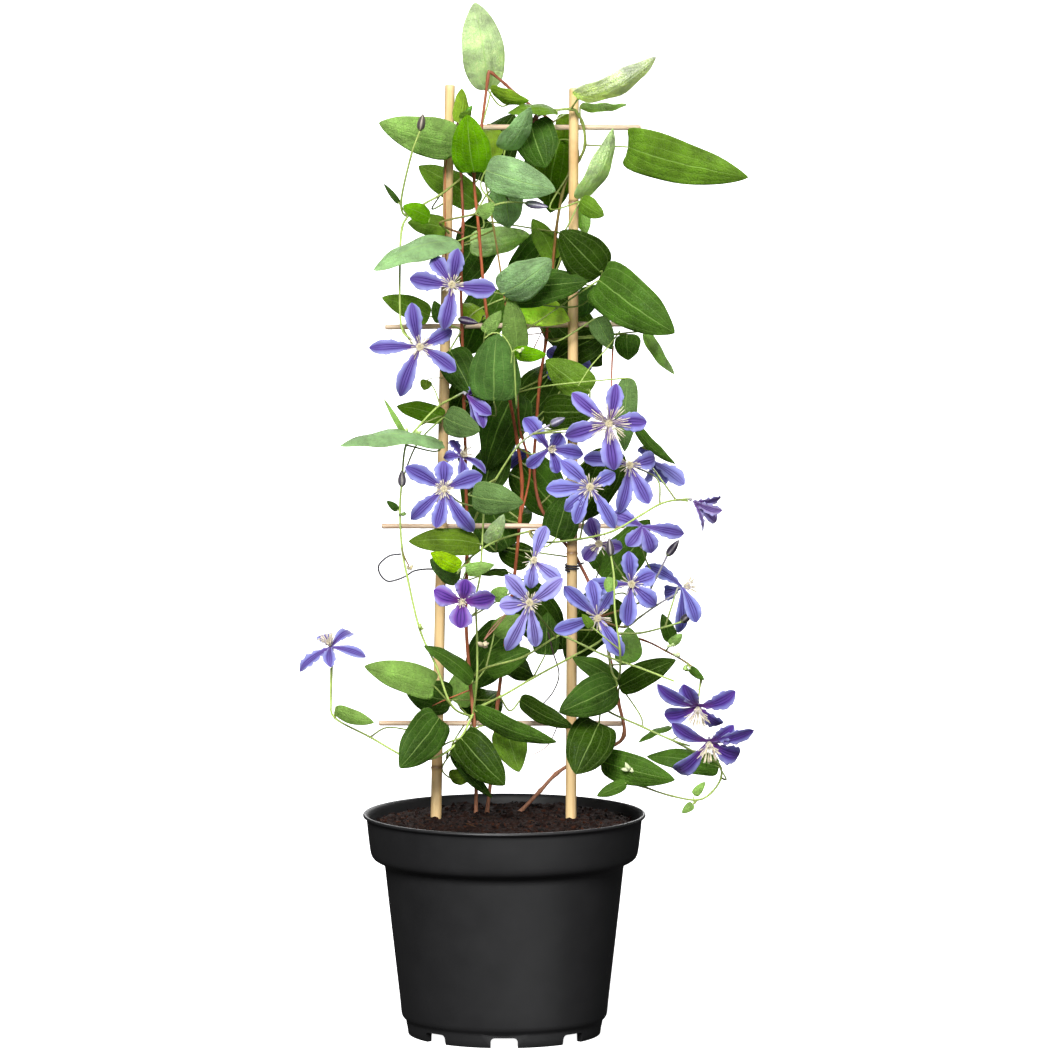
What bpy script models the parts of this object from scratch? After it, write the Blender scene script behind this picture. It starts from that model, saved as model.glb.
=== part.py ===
"""A potted clematis trained on a small bamboo trellis.

Metres, +Z up. The viewer stands on the -Y side, so the trellis is seen face on, with +X to the right.
The origin is on the ground under the middle of the whole plant, which leans out to the right of its pot.

All is modelled about the pot's upright axis and moved to its place in the end. The pot, soil, canes,
bars and ties are drawn from their sizes. The plant is drawn from where its stems, leaves and flowers are
seen: a plant place is (column, row, nearness), the pixel of the reference photograph that it is seen
at, and how many millimetres it stands in front of the pot's axis.
"""

import math

import bmesh
import bpy
from mathutils import Matrix, Vector
from mathutils.bvhtree import BVHTree

MM = 0.001
WELD = 0.01 * MM

# Where the photograph was taken from, and how its pixels spread.
EYE = Vector((13.9 * MM, -6.0, 1.018))
EYE_PITCH = math.radians(6.41)
FOCAL_PIXELS = 9019.0
MIDDLE_PIXEL = 525.0

# The pot's axis from the origin, along X.
POT_AXIS = -14.7 * MM

# The pot: a round 3 litre nursery container.
POT_RIM_RADIUS = 95.0 * MM
POT_RIM_HEIGHT = 148.3 * MM
POT_LIP = 1.4 * MM
POT_COLLAR_TOP_RADIUS = 92.6 * MM
POT_COLLAR_FOOT_RADIUS = 89.0 * MM
POT_COLLAR_FOOT_HEIGHT = 119.5 * MM
POT_SHOULDER_HEIGHT = 112.0 * MM
POT_BODY_TOP_RADIUS = 80.2 * MM
POT_BODY_FOOT_RADIUS = 69.0 * MM
POT_STEP_HEIGHT = 12.5 * MM
POT_BASE_RADIUS = 65.0 * MM
POT_WALL = 1.8 * MM
POT_FLOOR_HEIGHT = 9.0 * MM
FOOT_RING_WIDTH = 4.5 * MM
POT_SIDES = 36
FOOT_NOTCHES = 8
NOTCH_WIDTH = 18.0 * MM
NOTCH_HEIGHT = 6.8 * MM
DRAIN_HOLES = 4
DRAIN_RADIUS = 5.0 * MM
DRAIN_CIRCLE = 44.0 * MM

# The soil.
SOIL_HEIGHT = 144.3 * MM
SOIL_EDGE_HEIGHT = 140.6 * MM
SOIL_RING = 80.0 * MM
SOIL_GAP = 0.3 * MM
HOLE_GAP = 0.35 * MM
HOLE_SIDES = 8
HOLE_FLAT = math.cos(math.pi / HOLE_SIDES)

# The trellis.
CANE_FOOT_RADIUS = 3.75 * MM
CANE_TOP_RADIUS = 3.3 * MM
CANE_BURIED = 105.0 * MM
CANE_NODE_SPACING = 118.0 * MM
CANE_NODE_SWELL = 0.35 * MM
CANE_SIDES = 9
TRELLIS_NEARNESS = -12.0
BAR_RADIUS = 2.0 * MM
BAR_SIDES = 8
CLEARANCE = 0.3 * MM
# Each cane's foot on the soil, its top, and how far its lowest node is above the soil.
CANES = {
    "cane_left": {"foot": (436.0, 818.0), "top": (450.0, 85.0), "first_node": 35.0 * MM},
    "cane_right": {"foot": (571.0, 818.0), "top": (574.0, 88.0), "first_node": 62.0 * MM},
}
BARS = {
    "bar_1_top": ((402.0, 127.0), (641.0, 127.5)),
    "bar_2": ((385.0, 327.0), (629.0, 324.0)),
    "bar_3": ((381.5, 526.0), (625.0, 526.0)),
    "bar_4_foot": ((378.7, 723.0), (622.5, 723.5)),
}
TIE_RADIUS = 0.65 * MM
TIE_ROW = 567.0
# Each tie: its cane, where its turns start and end in degrees, and their heights from TIE_ROW's.
TIES = {
    "tie_left": {"cane": "cane_left", "turns": (120, 320), "climb": (-1.9 * MM, 0.2 * MM)},
    "tie_right": {"cane": "cane_right", "turns": (200, 1170), "climb": (-2.4 * MM, 2.4 * MM)},
}
TIE_STEP_DEGREES = 46
LOOSE_LOOP = [
    (401, 554, 10), (389, 556, 10), (379, 565, 10), (380, 574, 10), (387, 581, 10), (396, 580, 10),
    (406, 576, 10), (414, 571, 9), (428, 569, 4),
]

# The plant's own thicknesses.
STEM_FOOT_RADIUS = 1.7 * MM
SHOOT_RADIUS = 0.9 * MM
STALK_RADIUS = 0.65 * MM
STEM_BURIED = 30.0 * MM
STEM_STEP = 45.0 * MM
SHOOT_STEP = 35.0 * MM
LEAF_THICKNESS = 0.7 * MM
SMALL_LEAF = 16.5 * MM
TEPAL_THICKNESS = 0.7 * MM
BOSS_RADIUS = 2.6 * MM
TUFT_SHARES = (1.0, 0.8, 0.6, 0.4, 0.2)
TUFT_RADIUS = 2.0 * MM
BUD_RADIUS = 2.7 * MM
# How far along a leaf or a tepal its rows of points lie, from 0 at the base to 1 at the tip.
LEAF_ROWS = (0.22, 0.6, 1.0)
TEPAL_ROWS = (0.03, 0.42, 0.76, 1.0)

# Each leafy stem: its main route from the soil up, then the side shoots that grow from it.
STEMS = {
    "stem_left": {
        "main": [
            (476, 815, -25), (476, 770, -16), (474, 722, -6), (470, 680, -3), (466, 620, 0),
            (467, 560, 0), (466, 480, 2), (464, 400, 2), (462, 330, 2), (461, 280, 0), (463, 225, -1),
            (461, 170, -1), (459, 128, -1),
        ],
        "shoots": [
            [(463, 178, -1), (440, 195, 10), (424, 204, 12), (408, 216, 14), (401, 203, 20),
             (411, 156, 36), (420, 131, 40)],
            [(408, 216, 14), (402, 228, 17), (400, 260, 22), (401, 325, 26), (412, 340, 28)],
            [(461, 232, 0), (440, 223, 12), (475, 214, 22), (495, 205, 24), (510, 202, 24),
             (526, 203, 24)],
            [(474, 716, -5), (452, 706, 14), (437, 668, 18), (420, 630, 20), (408, 580, 18),
             (402, 548, 18), (400, 510, 18), (402, 480, 18), (406, 445, 18), (420, 425, 20),
             (440, 405, 22), (460, 395, 24)],
            [(474, 712, -4), (462, 736, 14), (448, 751, 20), (430, 759, 22), (408, 758, 24),
             (370, 737, 24), (335, 718, 24), (331, 700, 24), (331, 668, 24)],
            [(474, 712, -4), (477, 680, 16), (477, 640, 22), (476, 600, 30), (480, 576, 32),
             (482, 546, 32), (484, 508, 32), (485, 495, 32)],
            [(474, 708, -4), (500, 697, 14), (533, 678, 22), (566, 660, 28), (594, 645, 32),
             (612, 634, 34), (640, 633, 36), (665, 627, 36), (681, 622, 36)],
            [(470, 680, -3), (486, 668, 14), (523, 657, 26), (556, 637, 36), (566, 637, 38),
             (606, 656, 38), (640, 668, 36), (674, 681, 34)],
            [(467, 545, 0), (478, 512, 14), (496, 479, 30), (517, 447, 42), (533, 434, 48),
             (550, 425, 50)],
        ],
    },
    "stem_middle": {
        "main": [
            (487, 812, -38), (493, 760, -34), (498, 700, -31), (506, 640, -29), (514, 580, -27),
            (520, 520, -25), (522, 480, -22), (517, 440, -14), (509, 395, -4), (500, 350, 2),
            (489, 325, 4), (484, 290, 4), (479, 232, 4), (474, 172, 3), (481, 130, 2), (489, 71, 0),
            (520, 97, -4), (553, 122, -8),
        ],
        "shoots": [
            [(520, 520, -25), (530, 470, -22), (520, 430, -10), (517, 395, -2), (511, 340, 6),
             (505, 300, 8), (494, 230, 8), (485, 180, 8)],
        ],
    },
    "stem_right": {
        "main": [
            (520, 812, -38), (540, 791, -32), (556, 774, -27), (575, 762, -22), (606, 749, -16),
            (624, 735, -10), (618, 700, -8), (611, 665, -8), (604, 630, -12), (592, 590, -20),
            (576, 558, -26), (556, 532, -28), (540, 505, -30), (534, 470, -30), (536, 430, -28),
            (540, 380, -27), (546, 340, -27), (551, 285, -25), (556, 232, -22), (562, 195, -20),
            (570, 172, -20), (579, 160, -17), (585, 145, -12), (583, 124, -9), (577, 113, -5),
            (571, 109, -3), (547, 112, -1), (528, 122, -1),
        ],
        "shoots": [
            [(613, 678, -8), (601, 705, 6), (643, 727, 24), (672, 740, 30), (690, 746, 32)],
            [(672, 740, 30), (704, 757, 22), (719, 764, 18), (721, 778, 18), (711, 793, 18),
             (697, 800, 18), (672, 796, 20), (650, 789, 20), (636, 782, 20)],
            [(604, 630, -12), (643, 640, 14), (666, 651, 22), (687, 663, 24), (701, 676, 24),
             (699, 690, 24)],
            [(556, 532, -28), (530, 531, 2), (541, 542, 24), (580, 539, 70), (613, 531, 98),
             (641, 515, 98), (660, 504, 92), (676, 500, 88), (688, 501, 85)],
            [(530, 531, 2), (496, 541, 24), (470, 558, 32), (457, 574, 34)],
            [(606, 642, -10), (612, 672, 30), (619, 678, 70), (620, 650, 97), (615, 612, 101),
             (614, 577, 101), (611, 556, 98)],
            [(600, 615, -14), (640, 602, 20), (655, 580, 44), (667, 556, 46)],
            [(602, 622, -12), (625, 627, 10), (640, 617, 20), (657, 605, 26), (674, 595, 28)],
        ],
    },
}

# Buds: the place of the base and the place of the tip.
BUDS = [
    ((420, 131, 40), (423, 115, 40)),
    ((526, 203, 24), (547, 207, 26)),
    ((402, 487, 18), (402, 470, 18)),
    ((681, 622, 36), (692, 613, 36)),
    ((611, 556, 98), (609, 538, 98)),
    ((667, 556, 46), (679, 540, 46)),
    ((550, 425, 50), (565, 418, 52)),
]

# Flowers: the place of the middle, the way it faces (right, up, near), and each tepal's tip with how much
# nearer than the middle it is.
FLOWERS = {
    "flower_01": ((452, 285, 44), (0.0, 0.15, 1.0), 12.0, (9, 62),
                  [(458, 249, 6), (410, 278, 4), (496, 289, 6), (444, 329, 8), (433, 257, -10)]),
    "flower_02": ((420, 347, 34), (0.0, 0.1, 1.0), 12.0, (10, 62),
                  [(412, 303, 4), (452, 330, 2), (369, 348, 2), (456, 371, 6), (400, 396, 8)]),
    "flower_03": ((467, 395, 27), (0.75, -0.6, 0.2), 9.0, None,
                  [(477, 428, -6), (491, 414, 8), (484, 428, 6), (476, 385, 0)]),
    "flower_04": ((461, 457, 14), (0.5, 0.55, 0.6), 9.0, (9, 30),
                  [(450, 440, -4), (444, 457, 6), (486, 472, 6), (463, 480, 12)]),
    "flower_05": ((444, 489, 42), (0.0, 0.1, 1.0), 12.0, (8, 62),
                  [(406, 467, 4), (444, 461, 2), (482, 475, 4), (474, 532, 0), (436, 528, 6), (411, 519, 6)]),
    "flower_06": ((462, 601, 44), (0.05, -0.1, 1.0), 14.0, (6, 30),
                  [(466, 579, 6), (434, 591, 4), (495, 597, 4), (460, 628, 8)]),
    "flower_07": ((529, 603, 74), (0.1, 0.2, 1.0), 12.0, (9, 62),
                  [(506, 576, 6), (499, 606, 4), (562, 579, 8), (506, 651, 2), (536, 647, -4)]),
    "flower_08": ((534, 561, 50), (0.0, 0.3, 1.0), 12.0, (8, 60),
                  [(546, 526, -4), (530, 588, 4), (560, 581, 6)]),
    "flower_09": ((549, 449, 36), (0.4, 0.1, 0.9), 11.0, (6, 20),
                  [(525, 417, -4), (561, 433, 4), (583, 454, 4), (558, 473, 2), (527, 467, 0)]),
    "flower_10": ((609, 423, 80), (0.0, 0.0, 1.0), 13.5, (15, 66),
                  [(572, 393, 4), (616, 384, 2), (647, 422, 4), (614, 470, 6), (565, 436, 4)]),
    "flower_11": ((590, 487, 84), (0.0, 0.1, 1.0), 11.5, (10, 62),
                  [(561, 461, 4), (546, 489, 4), (565, 510, 6), (575, 524, 6), (615, 528, 4), (615, 473, 0)]),
    "flower_12": ((629, 465, 60), (0.1, 0.1, 1.0), 11.5, (9, 60),
                  [(583, 458, -4), (619, 513, 8), (649, 504, 6), (656, 458, -6)]),
    "flower_13": ((650, 461, 18), (0.5, -0.2, -0.6), 10.0, None,
                  [(685, 484, 2), (666, 484, -6), (645, 482, -14), (640, 447, 4)]),
    "flower_14": ((642, 526, 62), (0.2, 0.0, 1.0), 11.5, None,
                  [(684, 534, 2), (628, 546, 6), (612, 514, 0), (652, 553, 2)]),
    "flower_15": ((600, 543, 42), (-0.2, 0.0, 1.0), 11.5, (9, 62),
                  [(590, 518, 2), (584, 560, 4), (622, 548, 4)]),
    "flower_16": ((631, 584, 66), (0.1, 0.1, 1.0), 12.0, (9, 62),
                  [(629, 552, 4), (585, 589, -6), (655, 574, 2), (656, 605, 4), (627, 626, 6)]),
    "flower_17": ((597, 616, 72), (0.1, -0.3, 1.0), 12.0, (11, 60),
                  [(564, 586, 4), (591, 580, -2), (613, 590, 2), (554, 631, 6), (622, 656, 6)]),
    "flower_18": ((682, 587, 30), (1.0, 0.2, 0.1), 10.0, (10, 40),
                  [(646, 566, 6), (664, 593, -12), (697, 622, 8), (680, 634, -6)]),
    "flower_19": ((693, 501, 86), (0.8, -0.45, 0.2), 9.0, None,
                  [(721, 497, -4), (721, 512, 8), (703, 531, 4), (717, 522, -8)]),
    "flower_20": ((698, 706, 30), (-0.05, -0.75, 0.65), 12.0, (15, 34),
                  [(658, 687, 12), (684, 684, 14), (735, 693, 8), (664, 716, -7), (721, 725, -13)]),
    "flower_21": ((709, 741, 40), (0.0, -0.7, 0.7), 13.0, (15, 32),
                  [(672, 723, 10), (733, 727, 9), (754, 730, 7), (674, 773, -20), (740, 756, -11)]),
    "flower_22": ((331, 647, 24), (-0.35, 0.9, 0.3), 10.0, (10, 34),
                  [(299, 670, 6), (322, 635, -10), (354, 631, -16), (366, 657, 4), (330, 666, 16)]),
    "flower_23": ((566, 362, -52), (0.3, 0.2, -1.0), 11.0, (10, 60),
                  [(547, 350, 0), (578, 342, -6), (592, 368, -4), (570, 388, -4), (548, 378, -6)]),
    "flower_24": ((505, 470, -62), (0.0, 0.2, -1.0), 12.0, None,
                  [(480, 450, -4), (506, 432, -6), (530, 452, -4), (526, 494, -6), (486, 500, -4)]),
}

# Leaves: base column, base row, tip column, tip row, nearness of the base, how much nearer the tip is,
# width in millimetres, roll in degrees about the midrib.
LEAVES = [
    (488, 90, 476, 4, -14, 26, 29, 10), (491, 91, 528, 102, 2, 16, 15, 50),
    (556, 110, 508, 111, 6, 19, 15, 60), (459, 123, 463, 88, -2, -10, 12, 30),
    (474, 172, 467, 116, 20, 16, 27, -12), (458, 144, 380, 124, 8, 22, 28, -10),
    (478, 204, 418, 164, -34, -22, 22, 18), (490, 160, 486, 122, -34, -30, 24, -24),
    (505, 150, 531, 109, 10, 10, 19, 30), (531, 123, 545, 167, 2, 16, 30, 16),
    (486, 170, 555, 191, 28, 10, 27, 10), (560, 140, 548, 214, -44, -18, 32, 28),
    (503, 187, 510, 229, 2, -13, 24, -8), (566, 114, 563, 149, -30, -26, 14, -14),
    (578, 99, 656, 61, 8, 38, 24, 48), (580, 107, 627, 107, -14, 10, 16, 68),
    (628, 147, 745, 178, 20, 48, 31, 12), (581, 199, 615, 131, -6, 16, 20, 45),
    (580, 201, 603, 216, 2, 13, 14, 20), (580, 205, 586, 234, -28, 6, 13, 20),
    (555, 259, 533, 218, -26, -6, 17, 20), (602, 274, 561, 232, 26, 16, 31, 0),
    (599, 280, 673, 333, 36, 26, 36, 10), (502, 294, 551, 261, 34, 19, 28, 20),
    (508, 292, 586, 281, 12, 26, 26, -10), (508, 297, 570, 320, 2, 13, 26, -12),
    (517, 356, 511, 298, 18, 0, 18, 16), (494, 401, 496, 333, 40, 6, 35, -8),
    (450, 350, 472, 394, 2, 16, 24, 0), (514, 353, 545, 355, 52, 16, 11, 15),
    (430, 316, 383, 297, 0, 13, 17, 15), (481, 321, 461, 302, -30, -22, 13, 18),
    (442, 417, 396, 405, -6, -13, 14, 20), (442, 442, 341, 441, -4, 32, 26, 66),
    (444, 417, 478, 431, 18, 13, 20, 10), (484, 492, 502, 433, -34, -30, 28, -24),
    (472, 496, 523, 503, 58, 10, 22, 10), (480, 544, 410, 540, 34, 22, 20, 25),
    (460, 568, 431, 553, 50, 10, 12, -12), (488, 544, 504, 515, 12, 6, 12, 20),
    (460, 578, 431, 560, 4, 6, 17, 16), (434, 686, 366, 666, 26, 22, 22, 10),
    (473, 680, 426, 645, 2, 6, 15, 35), (458, 704, 470, 666, -30, -18, 22, 28),
    (452, 700, 407, 693, -8, 0, 24, -8), (470, 716, 500, 690, -44, -26, 28, -14),
    (475, 710, 554, 744, 12, 35, 17, 35), (505, 726, 519, 771, -8, 19, 23, 0),
    (461, 738, 504, 785, 20, 16, 27, 10), (439, 718, 401, 767, 26, 26, 28, -12),
    (420, 733, 399, 752, -6, 6, 13, 16), (452, 750, 491, 799, 6, 6, 11, 30),
    (450, 778, 471, 775, -6, 13, 12, 20), (616, 686, 560, 712, 34, 16, 27, -8),
    (599, 723, 576, 773, 28, 22, 32, 0), (601, 761, 673, 780, 8, 29, 22, 10),
    (719, 767, 647, 755, 2, 0, 18, 25), (619, 687, 674, 660, 6, 26, 18, -12),
    (628, 664, 629, 628, 14, 10, 19, 16), (618, 683, 573, 656, 4, 10, 17, 30),
    (335, 710, 373, 723, 26, 16, 11, 20), (590, 392, 545, 360, 10, -6, 24, -8),
    (543, 412, 594, 412, -2, 6, 24, 0), (628, 378, 624, 452, 20, 0, 16, 10),
    (645, 331, 673, 375, 2, 10, 11, 40), (627, 334, 628, 360, -24, 6, 18, 10),
    (600, 336, 550, 362, -36, -22, 24, 18), (596, 318, 612, 349, -4, 6, 15, -12),
    (590, 286, 584, 320, -34, -30, 18, -24), (458, 241, 374, 266, 16, 35, 25, 52),
    (446, 228, 408, 222, -2, 6, 17, 20), (430, 218, 404, 206, 20, 13, 13, 16),
    (470, 244, 531, 236, -32, -18, 22, 28), (556, 538, 570, 493, -2, 10, 25, -8),
    (506, 520, 534, 512, -40, -26, 16, -14), (545, 655, 548, 612, -2, -6, 18, 0),
    (530, 560, 497, 548, -42, -22, 20, 18), (494, 634, 520, 616, 8, 10, 15, 10),
    (486, 668, 530, 650, -6, 6, 20, -12), (520, 700, 572, 728, 2, 22, 15, 25),
    (500, 660, 536, 676, -38, -30, 18, -24), (516, 392, 484, 470, -36, -18, 36, 28),
    (486, 370, 450, 432, -34, -26, 32, -14), (520, 462, 566, 520, -46, -22, 36, 18),
    (520, 420, 572, 352, -52, -30, 36, -24), (508, 548, 464, 470, -50, -18, 36, 28),
    (516, 590, 566, 650, -52, -26, 34, -14), (508, 630, 464, 690, -52, -22, 34, 18),
    (612, 450, 572, 530, -44, -30, 34, -24), (604, 580, 652, 520, -40, -18, 32, 28),
    (610, 596, 566, 664, -44, -26, 34, -14), (552, 240, 508, 300, -52, -22, 34, 18),
    (548, 306, 606, 366, -56, -30, 36, -24), (490, 222, 452, 290, -48, -18, 34, 28),
    (478, 180, 514, 112, -52, -26, 32, -14), (498, 290, 462, 356, -50, -22, 34, 18),
    (562, 196, 526, 140, -56, -30, 32, -24),
]
# A leaf that would cross a neighbour leans or steps back or forward along the line of sight, in this order.
LEAF_SHIFTS = (0, 5, -5, 10, -10, 16, -16, 22, -22, 28, -28, 36, -36)
LEAF_LEANS = (0, 12, -12, 24, -24)
LEAF_SPACE = 0.8 * MM
# A stalk whose straight way is taken bends by one of these: right, back and up, in millimetres.
STALK_BENDS = [
    (0, 0, -4), (0, 8, -4), (0, -8, -4), (-8, 0, 0), (8, 0, 0), (0, 0, 8), (0, -16, -6),
    (0, 16, -6), (-14, 0, -6), (14, 0, -6), (-12, -12, 0), (12, -12, 0), (-12, 12, 0), (12, 12, 0),
]
NEAREST_JOINTS = 7


def seen_at(place):
    """The point that is seen at (column, row) of the photograph and stands this near."""
    column, row, nearness = place
    ahead = Vector((0.0, math.cos(EYE_PITCH), -math.sin(EYE_PITCH)))
    upward = Vector((0.0, math.sin(EYE_PITCH), math.cos(EYE_PITCH)))
    sight = ahead + upward * ((MIDDLE_PIXEL - row) / FOCAL_PIXELS)
    sight.x += (column - MIDDLE_PIXEL) / FOCAL_PIXELS
    return EYE + sight * ((-nearness * MM - EYE.y) / sight.y)


def smooth_route(points, step):
    """Points every step or so along a smooth curve through the given ones."""
    ends = [points[0] * 2 - points[1]] + list(points) + [points[-1] * 2 - points[-2]]
    route = [points[0]]
    for before, a, b, after in zip(ends, ends[1:], ends[2:], ends[3:]):
        pieces = max(1, round((b - a).length / step))
        for i in range(1, pieces + 1):
            t = i / pieces
            bend = (before * -1 + a * 3 - b * 3 + after) * t**3
            bend += (before * 2 - a * 5 + b * 4 - after) * t**2
            route.append(a + ((b - before) * t + bend) * 0.5)
    return route


def new_object(name, mesh, collection):
    """An object that holds the mesh, in the collection."""
    obj = bpy.data.objects.new(name, mesh)
    collection.objects.link(obj)
    return obj


def tube(route, radii, sides, collection, name="tube"):
    """A closed tube along the route, made from a curve and its round section, as a mesh with welded caps."""
    section = bpy.data.curves.new(name + "_section", "CURVE")
    ring = section.splines.new("POLY")
    ring.points.add(sides - 1)
    for i, point in enumerate(ring.points):
        angle = math.tau * i / sides
        point.co = (math.cos(angle), math.sin(angle), 0.0, 1.0)
    ring.use_cyclic_u = True
    section_object = new_object(section.name, section, collection)
    curve = bpy.data.curves.new(name, "CURVE")
    curve.dimensions = "3D"
    curve.bevel_mode = "OBJECT"
    curve.bevel_object = section_object
    curve.use_fill_caps = True
    line = curve.splines.new("POLY")
    line.points.add(len(route) - 1)
    for i, (point, place) in enumerate(zip(line.points, route)):
        share = i / (len(route) - 1)
        point.co = (*place, 1.0)
        point.radius = radii[0] + (radii[-1] - radii[0]) * share if len(radii) == 2 else radii[i]
    guide = new_object(name, curve, collection)
    graph = bpy.context.evaluated_depsgraph_get()
    mesh = bpy.data.meshes.new_from_object(guide.evaluated_get(graph))
    bpy.data.objects.remove(guide)
    bpy.data.objects.remove(section_object)
    tidy_mesh(mesh)
    return new_object(name, mesh, collection)


def tidy_mesh(mesh):
    """Welds what lies in the same place and turns the faces outwards."""
    work = bmesh.new()
    work.from_mesh(mesh)
    bmesh.ops.remove_doubles(work, verts=work.verts, dist=WELD)
    bmesh.ops.recalc_face_normals(work, faces=work.faces)
    work.to_mesh(mesh)
    work.free()


def blade(rows, thickness, collection, name="blade"):
    """A thin closed blade through rows of three points, left edge, rib and right edge, then thickened.

    The sheet is cut into triangles before it is thickened, so both faces are alike. Points in a row that
    lie together become one, which is how a blade narrows to a stalk or a tip.
    """
    work = bmesh.new()
    bmesh.ops.create_grid(work, x_segments=len(rows) - 1, y_segments=2, size=1.0)
    for vert in work.verts:
        row = round((vert.co.x + 1) / 2 * (len(rows) - 1))
        vert.co = rows[row][round(vert.co.y) + 1]
    bmesh.ops.remove_doubles(work, verts=work.verts, dist=0.2 * MM)
    bmesh.ops.triangulate(work, faces=work.faces)
    bmesh.ops.recalc_face_normals(work, faces=work.faces)
    mesh = bpy.data.meshes.new(name)
    work.to_mesh(mesh)
    work.free()
    sheet = new_object(name, mesh, collection)
    thick = sheet.modifiers.new("thickness", "SOLIDIFY")
    thick.thickness = thickness
    thick.offset = 0.0
    apply_modifiers(sheet)
    tidy_mesh(sheet.data)
    return sheet


def rows_of(surface, along, ribbed=True):
    """The blade's rows of three points, laid on surface(u, v). An unribbed one has its edges alone."""
    rows = []
    for u in along:
        left, right = surface(u, -1), surface(u, 1)
        rows.append([left, surface(u, 0) if ribbed else left, right])
    return rows


def leaf_surface(base, tip, width, roll):
    """The leaf's blade: oval with a heart-shaped foot and a pointed tip, arched along and folded across."""
    rib = tip - base
    length = rib.length
    rib.normalize()
    sight = (EYE - base).normalized()
    face = (sight - rib * sight.dot(rib)).normalized()
    face.rotate(Matrix.Rotation(math.radians(roll), 3, rib))
    side = rib.cross(face)

    def surface(u, v):
        half = width / 2 * 2.19 * u**0.42 * (1 - u) ** 0.8 if 0 < u < 1 else 0.0
        heart = 0.2 * length * v * v * u * (1 - u) ** 4 / 0.08
        arch = 0.1 * length * math.sin(math.pi * u) - 0.05 * length * u
        fold = 0.24 * half * abs(v)
        return base + rib * (u * length - heart) + side * (half * v) + face * (arch - fold)

    return surface


def tepal_surface(middle, tip, width, facing):
    """The tepal: pointed at its foot, widest past the middle, arched, with raised edges."""
    rib = tip - middle
    length = rib.length
    rib.normalize()
    face = (facing - rib * facing.dot(rib)).normalized()
    side = rib.cross(face)

    def surface(u, v):
        half = width / 2 * 2.6 * u * (1 - u) ** 0.5
        arch = 0.11 * length * math.sin(math.pi * u)
        return middle + rib * (u * length) + side * (half * v) + face * (arch + 0.2 * half * abs(v))

    return surface


def union_of(name, collection, material, target):
    """One body from all the shapes in the collection, which are then removed."""
    shapes = list(collection.objects)
    body = shapes[0]
    collection.objects.unlink(body)
    target.objects.link(body)
    body.name = body.data.name = name
    if len(shapes) > 1:
        join = body.modifiers.new("join", "BOOLEAN")
        join.operation = "UNION"
        join.operand_type = "COLLECTION"
        join.collection = collection
        join.solver = "MANIFOLD"
        apply_modifiers(body)
        for shape in shapes[1:]:
            bpy.data.objects.remove(shape)
    bpy.data.collections.remove(collection)
    body.data.materials.clear()
    body.data.materials.append(material)
    return body


def workshop(name):
    """A collection for the shapes that one node is joined from."""
    collection = bpy.data.collections.new(name)
    bpy.context.scene.collection.children.link(collection)
    return collection


def finish(name, colour, roughness, metallic=0.0):
    """A plain material."""
    material = bpy.data.materials.new(name)
    material.use_nodes = True
    shader = material.node_tree.nodes["Principled BSDF"]
    shader.inputs["Base Color"].default_value = (*colour, 1.0)
    shader.inputs["Roughness"].default_value = roughness
    shader.inputs["Metallic"].default_value = metallic
    return material


def turned(name, profile, sides, collection):
    """A solid of revolution about the Z axis from a closed (radius, height) profile."""
    mesh = bpy.data.meshes.new(name)
    work = bmesh.new()
    corners = [work.verts.new((radius, 0.0, height)) for radius, height in profile]
    for a, b in zip(corners, corners[1:]):
        work.edges.new((a, b))
    work.to_mesh(mesh)
    work.free()
    obj = new_object(name, mesh, collection)
    spin = obj.modifiers.new("turn", "SCREW")
    spin.steps = spin.render_steps = sides
    spin.use_merge_vertices = True
    spin.merge_threshold = WELD
    spin.use_normal_calculate = True
    apply_modifiers(obj)
    tidy_mesh(obj.data)
    return obj


def apply_modifiers(obj):
    """The object's evaluated mesh becomes its own."""
    bpy.context.view_layer.update()
    graph = bpy.context.evaluated_depsgraph_get()
    made = bpy.data.meshes.new_from_object(obj.evaluated_get(graph))
    obj.modifiers.clear()
    obj.data = made


def cut(obj, cutters):
    """Cuts the objects in the collection out of obj, and removes them."""
    knife = obj.modifiers.new("cut", "BOOLEAN")
    knife.operation = "DIFFERENCE"
    knife.operand_type = "COLLECTION"
    knife.collection = cutters
    knife.solver = "MANIFOLD"
    apply_modifiers(obj)
    for cutter in list(cutters.objects):
        bpy.data.objects.remove(cutter)
    bpy.data.collections.remove(cutters)


def smooth_round(obj, angle=40):
    """Smooth shading on the round parts, sharp at the corners."""
    obj.data.shade_smooth()
    obj.data.set_sharp_from_angle(angle=math.radians(angle))


def pot_inside(gap=0.0):
    """The inner wall's profile from the floor up to the rim, drawn in by the gap."""
    wall = POT_WALL + gap
    return [
        (POT_BASE_RADIUS - wall, POT_FLOOR_HEIGHT + gap),
        (POT_BODY_FOOT_RADIUS - wall, POT_STEP_HEIGHT + wall),
        (POT_BODY_TOP_RADIUS - wall, POT_SHOULDER_HEIGHT + wall),
        (POT_COLLAR_FOOT_RADIUS - wall, POT_COLLAR_FOOT_HEIGHT + wall),
        (POT_COLLAR_TOP_RADIUS - wall, POT_RIM_HEIGHT - POT_LIP),
    ]


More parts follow.
